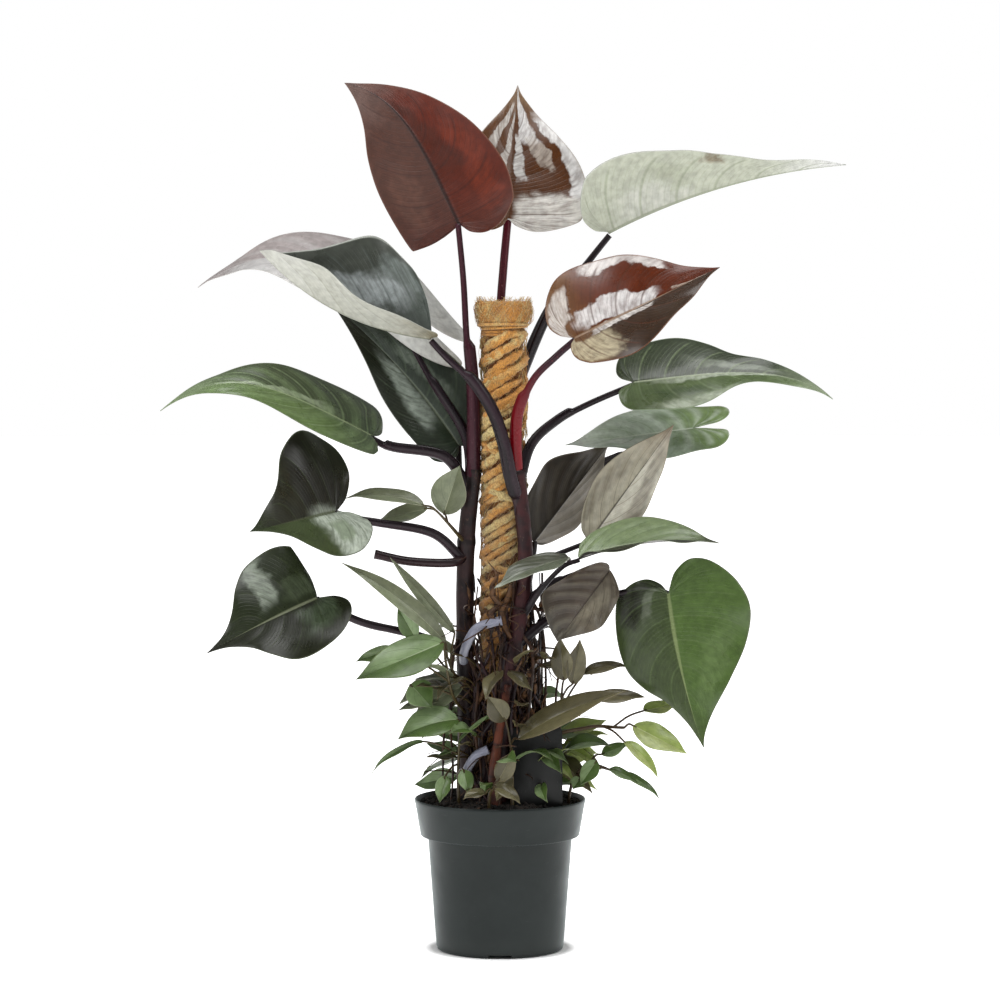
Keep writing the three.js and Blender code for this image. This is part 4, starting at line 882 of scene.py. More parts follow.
def leaf_surface(name, look, veins, roughness):
    """A leaf's face: a colour for each half, base and tip, patches that are mostly painted highlights and
    sheen, veins, midrib and margin.
    """
    surface = Surface(name)
    s, across = surface.map("veins")
    along = surface.map("place")[0]
    signed = across * 2 - 1
    out = abs(signed)
    soft = surface.spots(38, 4)
    warp = (soft - 0.5) * 0.25
    placed = along + warp
    surface.base(signed.ramp(-0.03, 0.03), *look["halves"])
    for key, low, high in (("base", 0.3, -0.08), ("tip", 0.62, 1.02)):
        if key in look:
            surface.lay(placed.ramp(low, high), look[key])
    streak = surface.spots(1, 3, (1, 5, 1), surface.vector(s * 46, signed))
    crisp = look.get("crisp", 0.4)
    # The pale patches are mostly painted highlights and sheen; the dark ones darken a spot.
    for tone, share, middle, reach, at, spread in look["highlight_and_tone_patches"]:
        near = abs(signed + warp * 1.6 - middle).ramp(reach, reach * crisp)
        level = abs(placed - at).ramp(spread, spread * crisp)
        surface.lay(near * level * streak.ramp(0.3, 0.62, 0.6, 1) * share, tone)
    pleat = (s * veins).zigzag()
    inner = out.ramp(0.95, 0.8)
    if "field" in look:
        tone, share = look["field"]
        surface.lay(pleat.ramp(0.15, 0.5) * inner * share, tone)
    tone, share = look["vein"]
    surface.lay(pleat.ramp(0.07, 0.015) * inner * share, tone)
    fine = (s * (veins * 6)).zigzag().ramp(0.16, 0.05) * inner
    surface.lay(fine * (0.35 * share), tone)
    level = surface.spots(120, 5).ramp(0.3, 0.7, 0.86, 1.12) * streak.ramp(0.25, 0.75, 0.93, 1.06)
    surface.colour = surface.mix(1.0, surface.colour, surface.vector(level, level, level), "MULTIPLY")
    surface.lay(out.ramp(0.04, 0.012) * 0.8, look["rib"])
    surface.lay(out.ramp(0.97, 0.995) * 0.75, look["edge"])
    skin = surface.bump(surface.spots(900, 2), 0.00006, 0.35)
    sunk = surface.bump(fine * -1, 0.00012, 0.6, skin)
    rough = soft.ramp(0.3, 0.7, roughness - 0.05, roughness + 0.08)
    coat = look.get("coat", 0.2)
    return surface.finish(rough, sunk, Coat_Weight=coat, Coat_Roughness=0.16, Specular_IOR_Level=0.28)


def petiole_surface(name, dark, light, edge, far=None):
    """A glossy leaf stalk: a painted highlight as a paler stripe down one side, streaks, flecks, a groove
    edge and a darker far end.
    """
    surface = Surface(name)
    along, around = surface.map("veins")
    wander = (surface.spots(25, 3) - 0.5) * 0.12
    # A painted highlight: a paler stripe down one side of the stalk.
    highlight_stripe = abs(around + wander - 0.62).ramp(0.16, 0.02)
    surface.base(highlight_stripe * 0.45, dark, light)
    streak = surface.spots(1, 4, where=surface.vector(around * 30, along * 6))
    surface.lay(streak.ramp(0.45, 0.8, 0, 0.5), light)
    if far:
        surface.lay(along.ramp(0.3, 0.8), far)
    surface.lay(surface.spots(700, 1, (1, 1, 0.35)).ramp(0.66, 0.74) * 0.5, edge)
    side = around.zigzag()
    surface.lay(side.ramp(0.13, 0.1) * side.ramp(0.06, 0.09) * 0.35, edge)
    grain = surface.bump(surface.spots(600, 3, (1, 1, 0.2)), 0.00015, 0.4)
    rough = surface.spots(60, 3).ramp(0.3, 0.7, 0.24, 0.4)
    return surface.finish(rough, grain, Coat_Weight=0.05, Coat_Roughness=0.2, Specular_IOR_Level=0.18)


def bark_surface(name, dark, light, scar):
    """A climbing stem: blotched skin, corky flecks and dark rings at the leaf scars."""
    surface = Surface(name)
    along = surface.map("veins")[0]
    blotch = surface.spots(55, 5).ramp(0.35, 0.65)
    surface.base(blotch, dark, light)
    surface.lay((along * LEAF_SCARS).zigzag().ramp(0.06, 0.02) * 0.7, scar)
    surface.lay(surface.spots(420, 2, (1, 1, 0.4)).ramp(0.62, 0.72) * 0.45, (110, 84, 68))
    grain = surface.bump(surface.spots(300, 4, (1, 1, 0.3)), 0.0005, 0.6)
    return surface.finish(blotch.ramp(0, 1, 0.4, 0.62), grain, Specular_IOR_Level=0.22)


def coir_surface(name, bump):
    """Coconut fibre. Its map holds each strand's own shade, and how damp and dark it is."""
    surface = Surface(name)
    shade, damp = surface.map("veins")
    level = shade + (surface.spots(60, 5) - 0.5) * 0.9
    dark = (132, 78, 26)
    surface.base(level.ramp(0.1, 0.5), dark, (250, 178, 84))
    surface.lay(level.ramp(0.5, 0.95), (255, 232, 160))
    hair = surface.spots(900, 4, (1, 1, 0.5))
    surface.lay(hair.ramp(0.38, 0.58, 0.6, 0), dark)
    surface.lay(damp * 0.5, (82, 48, 24))
    grain = surface.bump(hair, bump, 0.8)
    return surface.finish(hair.ramp(0.3, 0.7, 0.8, 0.95), grain, Sheen_Weight=0.2)


def soil_surface():
    surface = Surface("soil_mix")
    lump = surface.spots(90, 6).ramp(0.35, 0.65)
    surface.base(lump, (14, 11, 9), (42, 31, 24))
    surface.lay(surface.spots(260, 3).ramp(0.62, 0.7) * 0.6, (112, 80, 55))
    grain = surface.bump(surface.spots(500, 6, rough=0.7), 0.0012, 0.9)
    return surface.finish(lump.ramp(0, 1, 0.95, 0.8), grain)


def pot_surface():
    """Smooth moulded plastic: a faint orange-peel skin, scuffs on the band, and lighter over its lowest 3
    cm.
    """
    surface = Surface("pot_plastic")
    height = surface.parts(surface.place())[2]
    surface.base(surface.spots(14, 4).ramp(0.3, 0.7), (29, 36, 35), (39, 46, 45))
    surface.lay(height.ramp(0.03, 0.0) * 0.08, (100, 104, 100))
    surface.lay(surface.spots(40, 6, (1, 1, 7), rough=0.75).ramp(0.62, 0.72) * 0.1, (120, 126, 124))
    peel = surface.bump(surface.spots(420, 3), 0.0002, 0.25)
    return surface.finish(
        surface.spots(30, 5).ramp(0.3, 0.7, 0.34, 0.46), peel, Specular_IOR_Level=0.2,
        Sheen_Weight=0.4, Sheen_Roughness=0.3, Sheen_Tint=(0.7, 0.9, 0.9, 1),
    )


def tag_surface():
    surface = Surface("tag_card")
    cloud = surface.spots(70, 5).ramp(0.3, 0.7)
    surface.base(cloud, (16, 18, 17), (24, 26, 25))
    surface.lay(surface.spots(500, 3, (1, 1, 0.3)).ramp(0.66, 0.74) * 0.25, (88, 88, 86))
    grain = surface.bump(surface.spots(1200, 2), 0.00008, 0.4)
    return surface.finish(cloud.ramp(0, 1, 0.42, 0.5), grain, Specular_IOR_Level=0.25)


def wood_surface():
    surface = Surface("stake_wood")
    grain = surface.spots(90, 6, (1, 1, 0.06))
    surface.base(grain.ramp(0.35, 0.65), (120, 84, 52), (168, 128, 84))
    return surface.finish(grain.ramp(0.3, 0.7, 0.7, 0.85), surface.bump(grain, 0.0006, 0.7))


def floor_surface():
    """Pale and plain, lit by the lamps near the pot and shining by itself further off."""
    surface = Surface("studio_floor")
    away = surface.value("ShaderNodeVectorMath", (surface.place(),), "Value", operation="LENGTH")
    near, far = (away.ramp(low, high, 0.0, most) for low, high, most in FLOOR_GLOW)
    surface.put(near + far, surface.shader.inputs["Emission Strength"])
    cloud = surface.spots(2, 2).ramp(0.3, 0.7)
    surface.colour = surface.mix(cloud, (0.88, 0.88, 0.88, 1), (0.9, 0.9, 0.9, 1))
    return surface.finish(0.8, Emission_Color=(1, 1, 1, 1), Specular_IOR_Level=0.1)


def hues(halves, rib, vein, edge, *highlight_and_tone_patches, **more):
    """The colours of one face: its halves or one colour for both, its midrib, its veins and margin."""
    if len(halves) == 3:
        halves = (halves, halves)
    return dict(halves=halves, rib=rib, vein=vein, edge=edge, highlight_and_tone_patches=highlight_and_tone_patches, **more)


# The colours of each large leaf's faces, as seen on a screen. Halves are left, right. A vein is a
# colour and its share. A patch is (colour, share, across, reach across, along, reach along), with
# across from -1 to 1. The pale patches are mostly painted highlights and sheen; the dark ones darken
# a spot.
LOOKS = {
    "leaf_01": dict(
        under=hues(
            ((98, 34, 16), (84, 46, 32)), (34, 12, 8), ((56, 22, 14), 0.35), (130, 88, 70),
            ((60, 26, 14), 0.6, -0.2, 0.34, 0.5, 0.4), ((108, 70, 56), 0.6, 0.6, 0.3, 0.25, 0.25),
            # The bright rust patch near the base of the left half is painted glow of light shining through
            # the leaf.
            ((126, 50, 28), 0.6, -0.65, 0.25, 0.25, 0.3), tip=(118, 92, 84), base=(86, 36, 22), coat=0.05,
        ),
        top=hues(((50, 62, 36), (48, 58, 34)), (110, 120, 80), ((80, 95, 60), 0.5), (120, 90, 70)),
    ),
    "leaf_02": dict(
        top=hues(
            ((94, 52, 10), (88, 46, 8)), (84, 48, 16), ((84, 50, 22), 0.5), (196, 186, 174),
            ((240, 238, 236), 0.97, 0.42, 0.26, 0.78, 0.24), ((236, 234, 230), 0.9, 0.12, 0.1, 0.45, 0.2),
            ((242, 240, 238), 0.97, 0.96, 0.2, 0.45, 0.34),
            ((232, 228, 220), 0.95, 0.6, 0.55, -0.02, 0.22),
            ((220, 214, 206), 0.9, -0.62, 0.14, 0.55, 0.34), ((214, 208, 200), 0.85, -0.2, 0.1, 0.5, 0.3),
            ((206, 196, 184), 0.7, 0.5, 0.14, 0.5, 0.16), tip=(140, 110, 80), crisp=0.72, coat=0.08,
        ),
        under=hues((112, 70, 52), (70, 36, 30), ((90, 50, 40), 0.5), (150, 120, 100)),
    ),
    "leaf_03": dict(
        under=hues(
            ((196, 202, 180), (204, 208, 188)), (160, 168, 142), ((164, 172, 146), 0.55), (228, 230, 220),
            ((120, 98, 66), 0.9, 0.95, 0.3, 0.47, 0.08), ((226, 226, 218), 0.6, 0.2, 0.3, 0.2, 0.2),
            ((172, 178, 152), 0.6, 0.5, 0.3, 0.3, 0.12), tip=(252, 252, 250), coat=0.15,
        ),
        top=hues(
            (118, 140, 98), (170, 180, 150), ((90, 112, 74), 0.5), (190, 195, 180), tip=(150, 156, 140),
        ),
    ),
    "leaf_04": dict(
        top=hues(
            ((96, 36, 4), (54, 32, 10)), (158, 130, 104), ((84, 42, 20), 0.5), (120, 70, 36),
            ((240, 236, 234), 0.97, -0.2, 0.17, 0.34, 0.3),
            ((234, 228, 224), 0.95, -0.95, 0.14, 0.45, 0.28),
            ((226, 218, 210), 0.9, -0.6, 0.34, -0.02, 0.08),
            ((206, 194, 162), 0.9, 0.55, 0.4, 0.04, 0.22), ((240, 234, 228), 0.9, 0.1, 0.1, 0.3, 0.22),
            ((220, 206, 190), 0.6, -0.1, 0.09, 0.8, 0.12), base=(120, 84, 52), crisp=0.72, coat=0.08,
        ),
        under=hues((122, 72, 50), (80, 40, 30), ((96, 52, 40), 0.5), (150, 110, 90)),
    ),
    "leaf_05": dict(
        top=hues(
            ((58, 68, 48), (96, 116, 70)), (190, 202, 170), ((136, 154, 112), 0.4), (130, 150, 110),
            ((216, 226, 206), 0.9, 0.08, 0.12, 0.42, 0.42), ((206, 216, 198), 0.35, -0.35, 0.2, 0.5, 0.3),
            ((200, 212, 186), 0.8, 0.92, 0.24, 0.3, 0.28), ((58, 82, 38), 0.7, 0.5, 0.2, 0.22, 0.2),
            tip=(164, 178, 146), crisp=0.35,
        ),
        under=hues((150, 162, 128), (110, 120, 90), ((120, 136, 100), 0.5), (170, 176, 150)),
    ),
    "leaf_06": dict(
        top=hues(
            ((170, 186, 166), (176, 190, 170)), (214, 222, 204), ((140, 160, 126), 0.4), (206, 214, 196),
            ((96, 118, 74), 0.7, 0.55, 0.3, 0.12, 0.16), ((108, 130, 84), 0.7, -0.5, 0.25, 0.2, 0.18),
            ((226, 230, 222), 0.7, -0.4, 0.3, 0.55, 0.2), base=(122, 146, 88), tip=(214, 220, 212),
            field=((210, 220, 206), 0.5),
        ),
        under=hues((160, 176, 146), (120, 134, 100), ((130, 150, 112), 0.5), (180, 190, 166)),
    ),
    "leaf_07": dict(
        under=hues(
            ((120, 110, 92), (48, 40, 30)), (34, 28, 22), ((58, 48, 38), 0.35), (136, 126, 108),
            tip=(80, 68, 54), field=((150, 142, 122), 0.1), coat=0.08,
        ),
        top=hues((52, 56, 40), (110, 110, 84), ((84, 86, 62), 0.5), (110, 100, 84)),
    ),
    "leaf_08": dict(
        under=hues(
            ((206, 202, 184), (180, 174, 152)), (60, 50, 40), ((120, 110, 90), 0.45), (150, 140, 118),
            ((112, 102, 82), 0.7, 0.7, 0.3, 0.35, 0.4), ((104, 92, 74), 0.7, -0.7, 0.3, 0.5, 0.4),
            tip=(132, 116, 92), field=((214, 210, 192), 0.2),
        ),
        top=hues((70, 74, 50), (120, 120, 90), ((96, 98, 70), 0.5), (120, 110, 90)),
    ),
    "leaf_09": dict(
        # The right half is near-black on both faces: painted shade of the near half, seen in shadow.
        top=hues(
            ((150, 170, 124), (34, 34, 26)), (160, 168, 132), ((112, 134, 92), 0.5), (150, 160, 130),
            tip=(64, 66, 50), coat=0.2,
        ),
        under=hues(((120, 124, 96), (40, 38, 30)), (60, 56, 44), ((80, 80, 60), 0.5), (130, 130, 104)),
    ),
    "leaf_10": dict(
        top=hues(
            ((112, 120, 100), (86, 90, 74)), (158, 162, 140), ((84, 90, 74), 0.5), (160, 166, 148),
            ((190, 196, 182), 0.6, 0.3, 0.3, 0.8, 0.25), base=(60, 60, 48), tip=(176, 182, 166), coat=0.2,
        ),
        under=hues((130, 130, 108), (90, 90, 70), ((100, 100, 80), 0.5), (150, 150, 130)),
    ),
    "leaf_11": dict(
        top=hues(
            ((106, 98, 84), (74, 62, 50)), (52, 42, 34), ((60, 50, 40), 0.4), (120, 112, 96),
            ((150, 142, 122), 0.6, -0.4, 0.3, 0.4, 0.3), ((52, 42, 30), 0.6, 0.6, 0.4, 0.6, 0.3),
            base=(104, 92, 78), tip=(58, 54, 42), field=((150, 144, 124), 0.2), coat=0.05,
        ),
        under=hues((110, 80, 66), (70, 44, 36), ((84, 56, 46), 0.5), (140, 120, 104)),
    ),
    "leaf_12": dict(
        top=hues(
            ((82, 106, 52), (66, 80, 44)), (140, 154, 104), ((106, 126, 78), 0.25), (100, 112, 74),
            ((30, 30, 20), 0.9, 0.72, 0.34, 0.02, 0.2), ((140, 146, 130), 0.5, 0.4, 0.12, 0.04, 0.14),
            ((112, 134, 84), 0.5, -0.6, 0.3, 0.5, 0.3), tip=(70, 88, 42),
        ),
        under=hues((150, 160, 124), (100, 104, 76), ((118, 130, 94), 0.5), (160, 166, 136)),
    ),
    "leaf_13": dict(
        top=hues(
            ((30, 34, 14), (40, 48, 26)), (140, 146, 116), ((66, 76, 46), 0.3), (86, 94, 66),
            ((170, 180, 164), 0.8, 0.7, 0.56, 0.38, 0.11), ((92, 108, 82), 0.7, -0.4, 0.4, 0.0, 0.26),
            ((104, 116, 90), 0.4, 0.3, 0.2, 0.1, 0.2), tip=(26, 26, 12), coat=0.0,
        ),
        under=hues((120, 130, 100), (80, 84, 60), ((96, 104, 76), 0.5), (140, 146, 120)),
    ),
    "leaf_14": dict(
        top=hues(
            ((66, 78, 46), (46, 46, 34)), (84, 92, 64), ((72, 84, 54), 0.25), (86, 96, 70),
            ((206, 216, 200), 0.95, -0.55, 0.7, -0.02, 0.36), ((24, 22, 16), 0.85, 0.6, 0.6, 0.08, 0.34),
            ((120, 140, 100), 0.6, -0.5, 0.3, 0.1, 0.12), tip=(48, 60, 34), coat=0.05, crisp=0.6,
        ),
        under=hues((130, 138, 112), (90, 92, 70), ((100, 108, 84), 0.5), (150, 154, 132)),
    ),
    "leaf_15": dict(
        top=hues(
            ((108, 132, 78), (78, 92, 62)), (176, 194, 146), ((158, 180, 132), 0.4), (120, 136, 96),
            ((190, 206, 170), 0.7, 0.12, 0.12, 0.5, 0.4), ((60, 76, 42), 0.6, 0.7, 0.3, 0.2, 0.24),
            tip=(140, 158, 120), base=(92, 104, 84), field=((148, 172, 122), 0.35),
        ),
        under=hues((150, 162, 128), (110, 120, 90), ((120, 136, 100), 0.5), (170, 176, 150)),
    ),
    "leaf_16": dict(
        top=hues(
            ((64, 68, 58), (68, 72, 64)), (150, 160, 150), ((86, 94, 88), 0.4), (190, 194, 184),
            ((190, 198, 198), 0.75, 0.42, 0.26, 0.4, 0.34), ((150, 160, 156), 0.5, 0.75, 0.2, 0.2, 0.2),
            ((34, 36, 28), 0.5, 0.7, 0.2, 0.75, 0.14), base=(96, 104, 98), tip=(92, 96, 88),
        ),
        under=hues(
            (206, 206, 194), (150, 152, 132), ((176, 176, 160), 0.5), (224, 224, 214),
            base=(132, 124, 98), tip=(200, 200, 190), coat=0.15,
        ),
    ),
    "leaf_17": dict(
        top=hues(
            ((216, 214, 212), (176, 166, 164)), (190, 186, 182), ((180, 174, 172), 0.3), (220, 218, 212),
            base=(236, 238, 232), tip=(160, 148, 146), field=((224, 222, 220), 0.3), coat=0.05,
        ),
        under=hues((150, 130, 130), (110, 90, 90), ((126, 108, 108), 0.5), (176, 164, 160)),
    ),
    "leaf_18": dict(
        top=hues(
            ((38, 44, 30), (56, 66, 54)), (120, 130, 110), ((84, 96, 76), 0.4), (130, 138, 122),
            ((176, 188, 174), 0.9, -0.3, 0.34, 0.4, 0.3), ((140, 152, 136), 0.6, 0.4, 0.2, 0.4, 0.26),
            base=(60, 72, 56), tip=(34, 38, 26),
        ),
        under=hues((120, 124, 100), (80, 82, 62), ((94, 98, 76), 0.5), (150, 152, 132)),
    ),
}
LEAF_SLOTS = {
    "leaf_01": "leaf_copper", "leaf_02": "leaf_bronze", "leaf_03": "leaf_sage", "leaf_04": "leaf_copper",
    "leaf_05": "leaf_green", "leaf_06": "leaf_mint", "leaf_07": "leaf_taupe", "leaf_08": "leaf_taupe",
    "leaf_09": "leaf_mint", "leaf_10": "leaf_mint", "leaf_11": "leaf_taupe", "leaf_12": "leaf_green",
    "leaf_13": "leaf_dark", "leaf_14": "leaf_dark", "leaf_15": "leaf_green", "leaf_16": "leaf_dark",
    "leaf_17": "leaf_mauve", "leaf_18": "leaf_dark",
}
# A petiole's dark skin, its lighter tone, which paints a highlight stripe and streaks, its flecks and what
# it darkens to at its far end.
PETIOLES = {
    "leaf_02": ((78, 12, 28), (124, 44, 60), (130, 80, 84)),
    "leaf_04": ((122, 2, 16), (150, 14, 32), (150, 60, 66), (46, 10, 26)),
    "leaf_01": ((44, 10, 22), (92, 44, 58), (110, 76, 80)),
}
PLAIN_PETIOLE = ((22, 13, 18), (70, 50, 60), (84, 66, 72))

# Small leaves, both faces alike.
SHOOT_LOOKS = {
    "shoot_pale": hues(
        ((134, 142, 112), (114, 120, 92)), (176, 178, 146), ((98, 104, 78), 0.4), (160, 160, 134),
    ),
    "shoot_green": hues(
        ((86, 112, 54), (138, 162, 112)), (170, 186, 142), ((64, 88, 42), 0.4), (120, 130, 84),
        tip=(66, 88, 38),
    ),
    "shoot_olive": hues(
        ((84, 78, 50), (112, 106, 74)), (146, 140, 104), ((70, 64, 42), 0.4), (120, 104, 76),
    ),
    "shoot_lime": hues(
        ((152, 170, 86), (172, 184, 112)), (200, 210, 150), ((124, 146, 66), 0.4), (170, 180, 120),
    ),
}
SHOOT_SLOTS = {
    "shoot_left_top": "shoot_pale", "shoot_left_long": "shoot_pale", "shoot_left_bright": "shoot_green",
    "shoot_left_low": "shoot_green", "shoot_right_small": "shoot_green", "shoot_back": "shoot_green",
    "shoot_front": "shoot_olive", "shoot_right_upright": "shoot_olive", "shoot_rim": "shoot_olive",
    "shoot_right_lime": "shoot_lime",
}


# Leaves, stalks and stems
def make_leaf(leaf):
    name = leaf["name"]
    shape = Shape()
    add_blade(shape, leaf, BIG)
    surfaces = []
    for side in ("top", "under"):
        look = LOOKS[name][side]
        surfaces.append(leaf_surface(name + "_" + side, look, BIG["veins"], ROUGHNESS[side]))
    shape.make(name + "_blade", surfaces, LEAF_SLOTS[name], (name,))


def make_petiole(leaf, surfaces):
    """The stalk of a large leaf: a grooved clasping sheath, a rounded shoulder and a thin end."""
    name = leaf["name"].replace("leaf", "petiole")
    wide, thin = leaf["radii"]
    sheath = leaf["sheath"]
    place, up, _ = midrib(leaf, 0)
    end = place - up * (leaf["seat"] * thin + BIG["thickness"] / 2 + GAP)

    def past_sheath(t):
        return max((t - sheath) / (1 - sheath), 0)

    def thinned(t):
        return step(t, sheath - 0.012, sheath + 0.025)

    def radius_at(t, angle):
        turned = min(angle, 2 * math.pi - angle)
        below = wide * (1 - (1 - SHOULDER) * t / sheath)
        above = thin * (1.12 - 0.12 * past_sheath(t))
        groove = step(turned, 0.85, 0.25) * (0.3 - 0.12 * thinned(t))
        lip = math.exp(-(((turned - 0.9) / 0.22) ** 2)) * 0.06 * (1 - thinned(t))
        radius = (below + (above - below) * thinned(t)) * (0.7 + 0.3 * step(t, 0, 0.035))
        return radius * (1 - groove + lip)

    def shift_at(t):
        return (1 - past_sheath(t)) * (thin - wide * SHOULDER) * 0.7 * thinned(t)

    shape = Shape()
    add_tube(shape, [*leaf["path"], end], "stalk", radius_at, shift_at=shift_at)
    shades = PETIOLES.get(leaf["name"], PLAIN_PETIOLE)
    if shades not in surfaces:
        surfaces[shades] = petiole_surface("petiole_skin_%d" % len(surfaces), *shades)
    slot = "petiole_crimson" if leaf["name"] in ("leaf_02", "leaf_04") else "petiole_dark"
    shape.make(name + "_stalk", (surfaces[shades],), slot, (name,))


def make_stem(given, skins):
    """A stem with ringed leaf scars, aerial roots that wander a little, and the stubs of cut stalks."""
    shape = Shape()
    lower, upper = given["radii"]
    draw = random.Random(given["name"])

    def radius_at(t, angle):
        away = t * LEAF_SCARS - round(t * LEAF_SCARS)
        knot = 0.02 * math.sin(9 * angle + 40 * t) + 0.03 * math.sin(2 * angle + 11 * t)
        return (lower * (1 - t) + upper * t) * (0.97 + 0.1 * math.exp(-200 * away * away) + knot)

    def root_at(t, angle):
        return ROOT_RADIUS * (1.3 - 0.6 * t + 0.08 * math.sin(30 * t + phase))

    def stub_at(t, angle):
        return STUB_RADIUS * (1 + 0.12 * step(t, 0.1, 0) + 0.08 * step(t, 0.93, 1))

    add_tube(shape, given["path"], "stem", radius_at, BARK)
    for path in given["roots"]:
        phase = draw.uniform(0, 6)
        inner = [[value + draw.uniform(-2, 2) for value in point] for point in path[1:-1]]
        add_tube(shape, (path[0], *inner, path[-1]), "root", root_at, ROOT)
    for path in given["stubs"]:
        add_tube(shape, path, "stub", stub_at, DARK_CUT if path[0][2] > DARK_CUTS else CUT)
    bark, slot = STEM_LOOKS[given["name"]]
    surfaces = (skins[bark], skins["root_bark"], skins["stub_skin"], skins["cane_skin"])
    shape.make(given["name"] + "_bark", surfaces, slot, (given["name"],))


def make_collars(cane_skin):
    """Where each large leaf's stalk clasps its stem: the foot of its sheath, running down the stem."""
    shape = Shape()
    drop = Vector((0, 0, -1))
    for leaf in LEAVES:
        first, second = Vector(leaf["path"][0]), Vector(leaf["path"][1])
        back = (first - second).normalized()
        middle = first + (back + drop).normalized() * COLLAR * 0.45
        low = middle + (drop * 3 + back).normalized() * COLLAR * 0.6
        wide = leaf["radii"][0] * 0.8
        route = (first - back * 4, first, middle, low)
        add_tube(shape, route, "collar", lambda t, angle: wide * (1 - t ** 2 * 0.95))
    shape.make("stem_collars", (cane_skin,), "petiole_dark")


# The thicket at the foot
def wander_up(draw, low, high, away, sway):
    """Five points from low to high that keep near the pole, more often in front than behind."""
    angle = draw.uniform(-math.pi, 0) if draw.random() < IN_FRONT else draw.uniform(0, math.pi)
    points = []
    for f in shares(4):
        reach = away + draw.uniform(-3, 3) + 4 * (1 - f)
        turned = angle + draw.uniform(-sway, sway)
        points.append(beside_pole(reach, turned, low + (high - low) * f))
    return points


def add_canes(shape, draw, bottom):
    for _ in range(CANES["count"]):
        top = draw.uniform(*CANES["top"])
        route = wander_up(draw, bottom, top, draw.uniform(*CANES["away"]), draw.choice((0.2, 0.2, 0.5)))
        thick = draw.uniform(*CANES["radius"])
        knots = draw.uniform(0, 6)

        def cane_at(t, angle):
            ring = math.exp(-((math.sin(9 * t + knots) / 0.12) ** 2))
            return thick * (1.05 - 0.45 * t + 0.12 * ring) * (1 - step(t, 0.97, 1) * 0.5)

        add_tube(shape, route, "cane", cane_at, CANE)


def add_roots(shape, draw, bottom):
    for _ in range(ROOTS["count"]):
        top = draw.uniform(*ROOTS["top"])
        low = bottom if draw.random() < 0.7 else draw.uniform(bottom, top - 25)
        route = wander_up(draw, low, top, draw.uniform(*ROOTS["away"]), 0.4)
        thick = draw.uniform(*ROOTS["radius"])
        add_tube(shape, route, "thin_root", taper(0.7 * thick, thick), TWIG)


def add_twigs(shape, draw):
    for _ in range(TWIGS["count"]):
        start = wander_up(draw, draw.uniform(*TWIGS["low"]), TWIGS["high"], TWIGS["away"], 0.1)[0]
        heading = turned_by(draw.uniform(-0.9, 0.9)) @ off_pole(start)
        side = Vector((-heading.y, heading.x, 0))
        length = draw.uniform(*TWIGS["length"])
        rise = draw.uniform(-0.5, 0.7)
        kink = draw.uniform(-0.25, 0.25)
        route = []
        for f in shares(4):
            bent = heading * f + side * kink * math.sin(5 * f) + Vector((0, 0, rise * f - 0.3 * f * f))
            route.append(start + bent * length)
        thick = draw.uniform(*TWIGS["radius"])
        add_tube(shape, route, "twig", taper(thick, 0.5 * thick), TWIG)


def add_scraps(shape, draw, bottom):
    """Dry sheaths that stand off at the top, flat in section."""
    flat = SCRAPS["thick"]
    for _ in range(SCRAPS["count"]):
        low = draw.uniform(bottom, SCRAPS["top"])
        height = draw.uniform(*SCRAPS["height"])
        route = wander_up(draw, low, low + height, draw.uniform(*SCRAPS["away"]), 0.2)
        curl = draw.uniform(*SCRAPS["curl"])
        away = off_pole(route[-1])
        route = [point + away * curl * f * f for f, point in zip(shares(4), route)]
        wide = draw.uniform(*SCRAPS["width"])

        def scrap_at(t, angle):
            width = wide * math.sin(math.pi * (0.12 + 0.8 * t)) ** 0.6
            return width * flat / math.hypot(width * math.cos(angle), flat * math.sin(angle))

        add_tube(shape, route, "scrap", scrap_at, DRY)


def make_undergrowth(skins):
    """What crowds round the foot of the pole: old canes, aerial roots, twigs and dry sheaths."""
    draw = random.Random(SEED + 2)
    shape = Shape()
    bottom = POT["height"] - 8
    add_canes(shape, draw, bottom)
    add_roots(shape, draw, bottom)
    add_twigs(shape, draw)
    add_scraps(shape, draw, bottom)
    add_tube(shape, RED_CANE, "red_cane", lambda t, angle: 6.5 - 3 * t + 0.3 * math.sin(60 * t), RED)
    surfaces = [skins[name] for name in ("cane_skin", "root_bark", "dry_sheath", "cane_red")]
    shape.make("stem_undergrowth", surfaces, "stem_dark")


def add_small_leaf(shape, start, arch, **given):
    """A small narrow leaf on a thin stalk, which arches up a little from start."""
    start, base, tip = Vector(start), Vector(given["base"]), Vector(given["tip"])
    middle = (start + base) / 2 + Vector((0, 0, arch))
    route = (start, middle, base, base + (tip - base).normalized() * 4)
    add_tube(shape, route, "thin_stalk", taper(1.1 * STALK_RADIUS, 0.8 * STALK_RADIUS), STALK)
    add_blade(shape, {**PLAIN_LEAF, "kind": "lance", **given}, SMALL, (BLADE, BLADE))


def make_shoot(given, surfaces, stalk_surface):
    shape = Shape()
    add_tube(shape, given["path"], "spray", taper(*given["radii"]), STALK)
    for at, base, tip, face, halves, bow in given["leaves"]:
        add_small_leaf(
            shape, smooth(given["path"], at), 3, base=base, tip=tip, face=face, halves=halves, bow=bow,
            wave=(1, 1.5, 0),
        )
    slot = SHOOT_SLOTS[given["name"]]
    shape.make(given["name"] + "_spray", (surfaces[slot], stalk_surface), slot, (given["name"],))


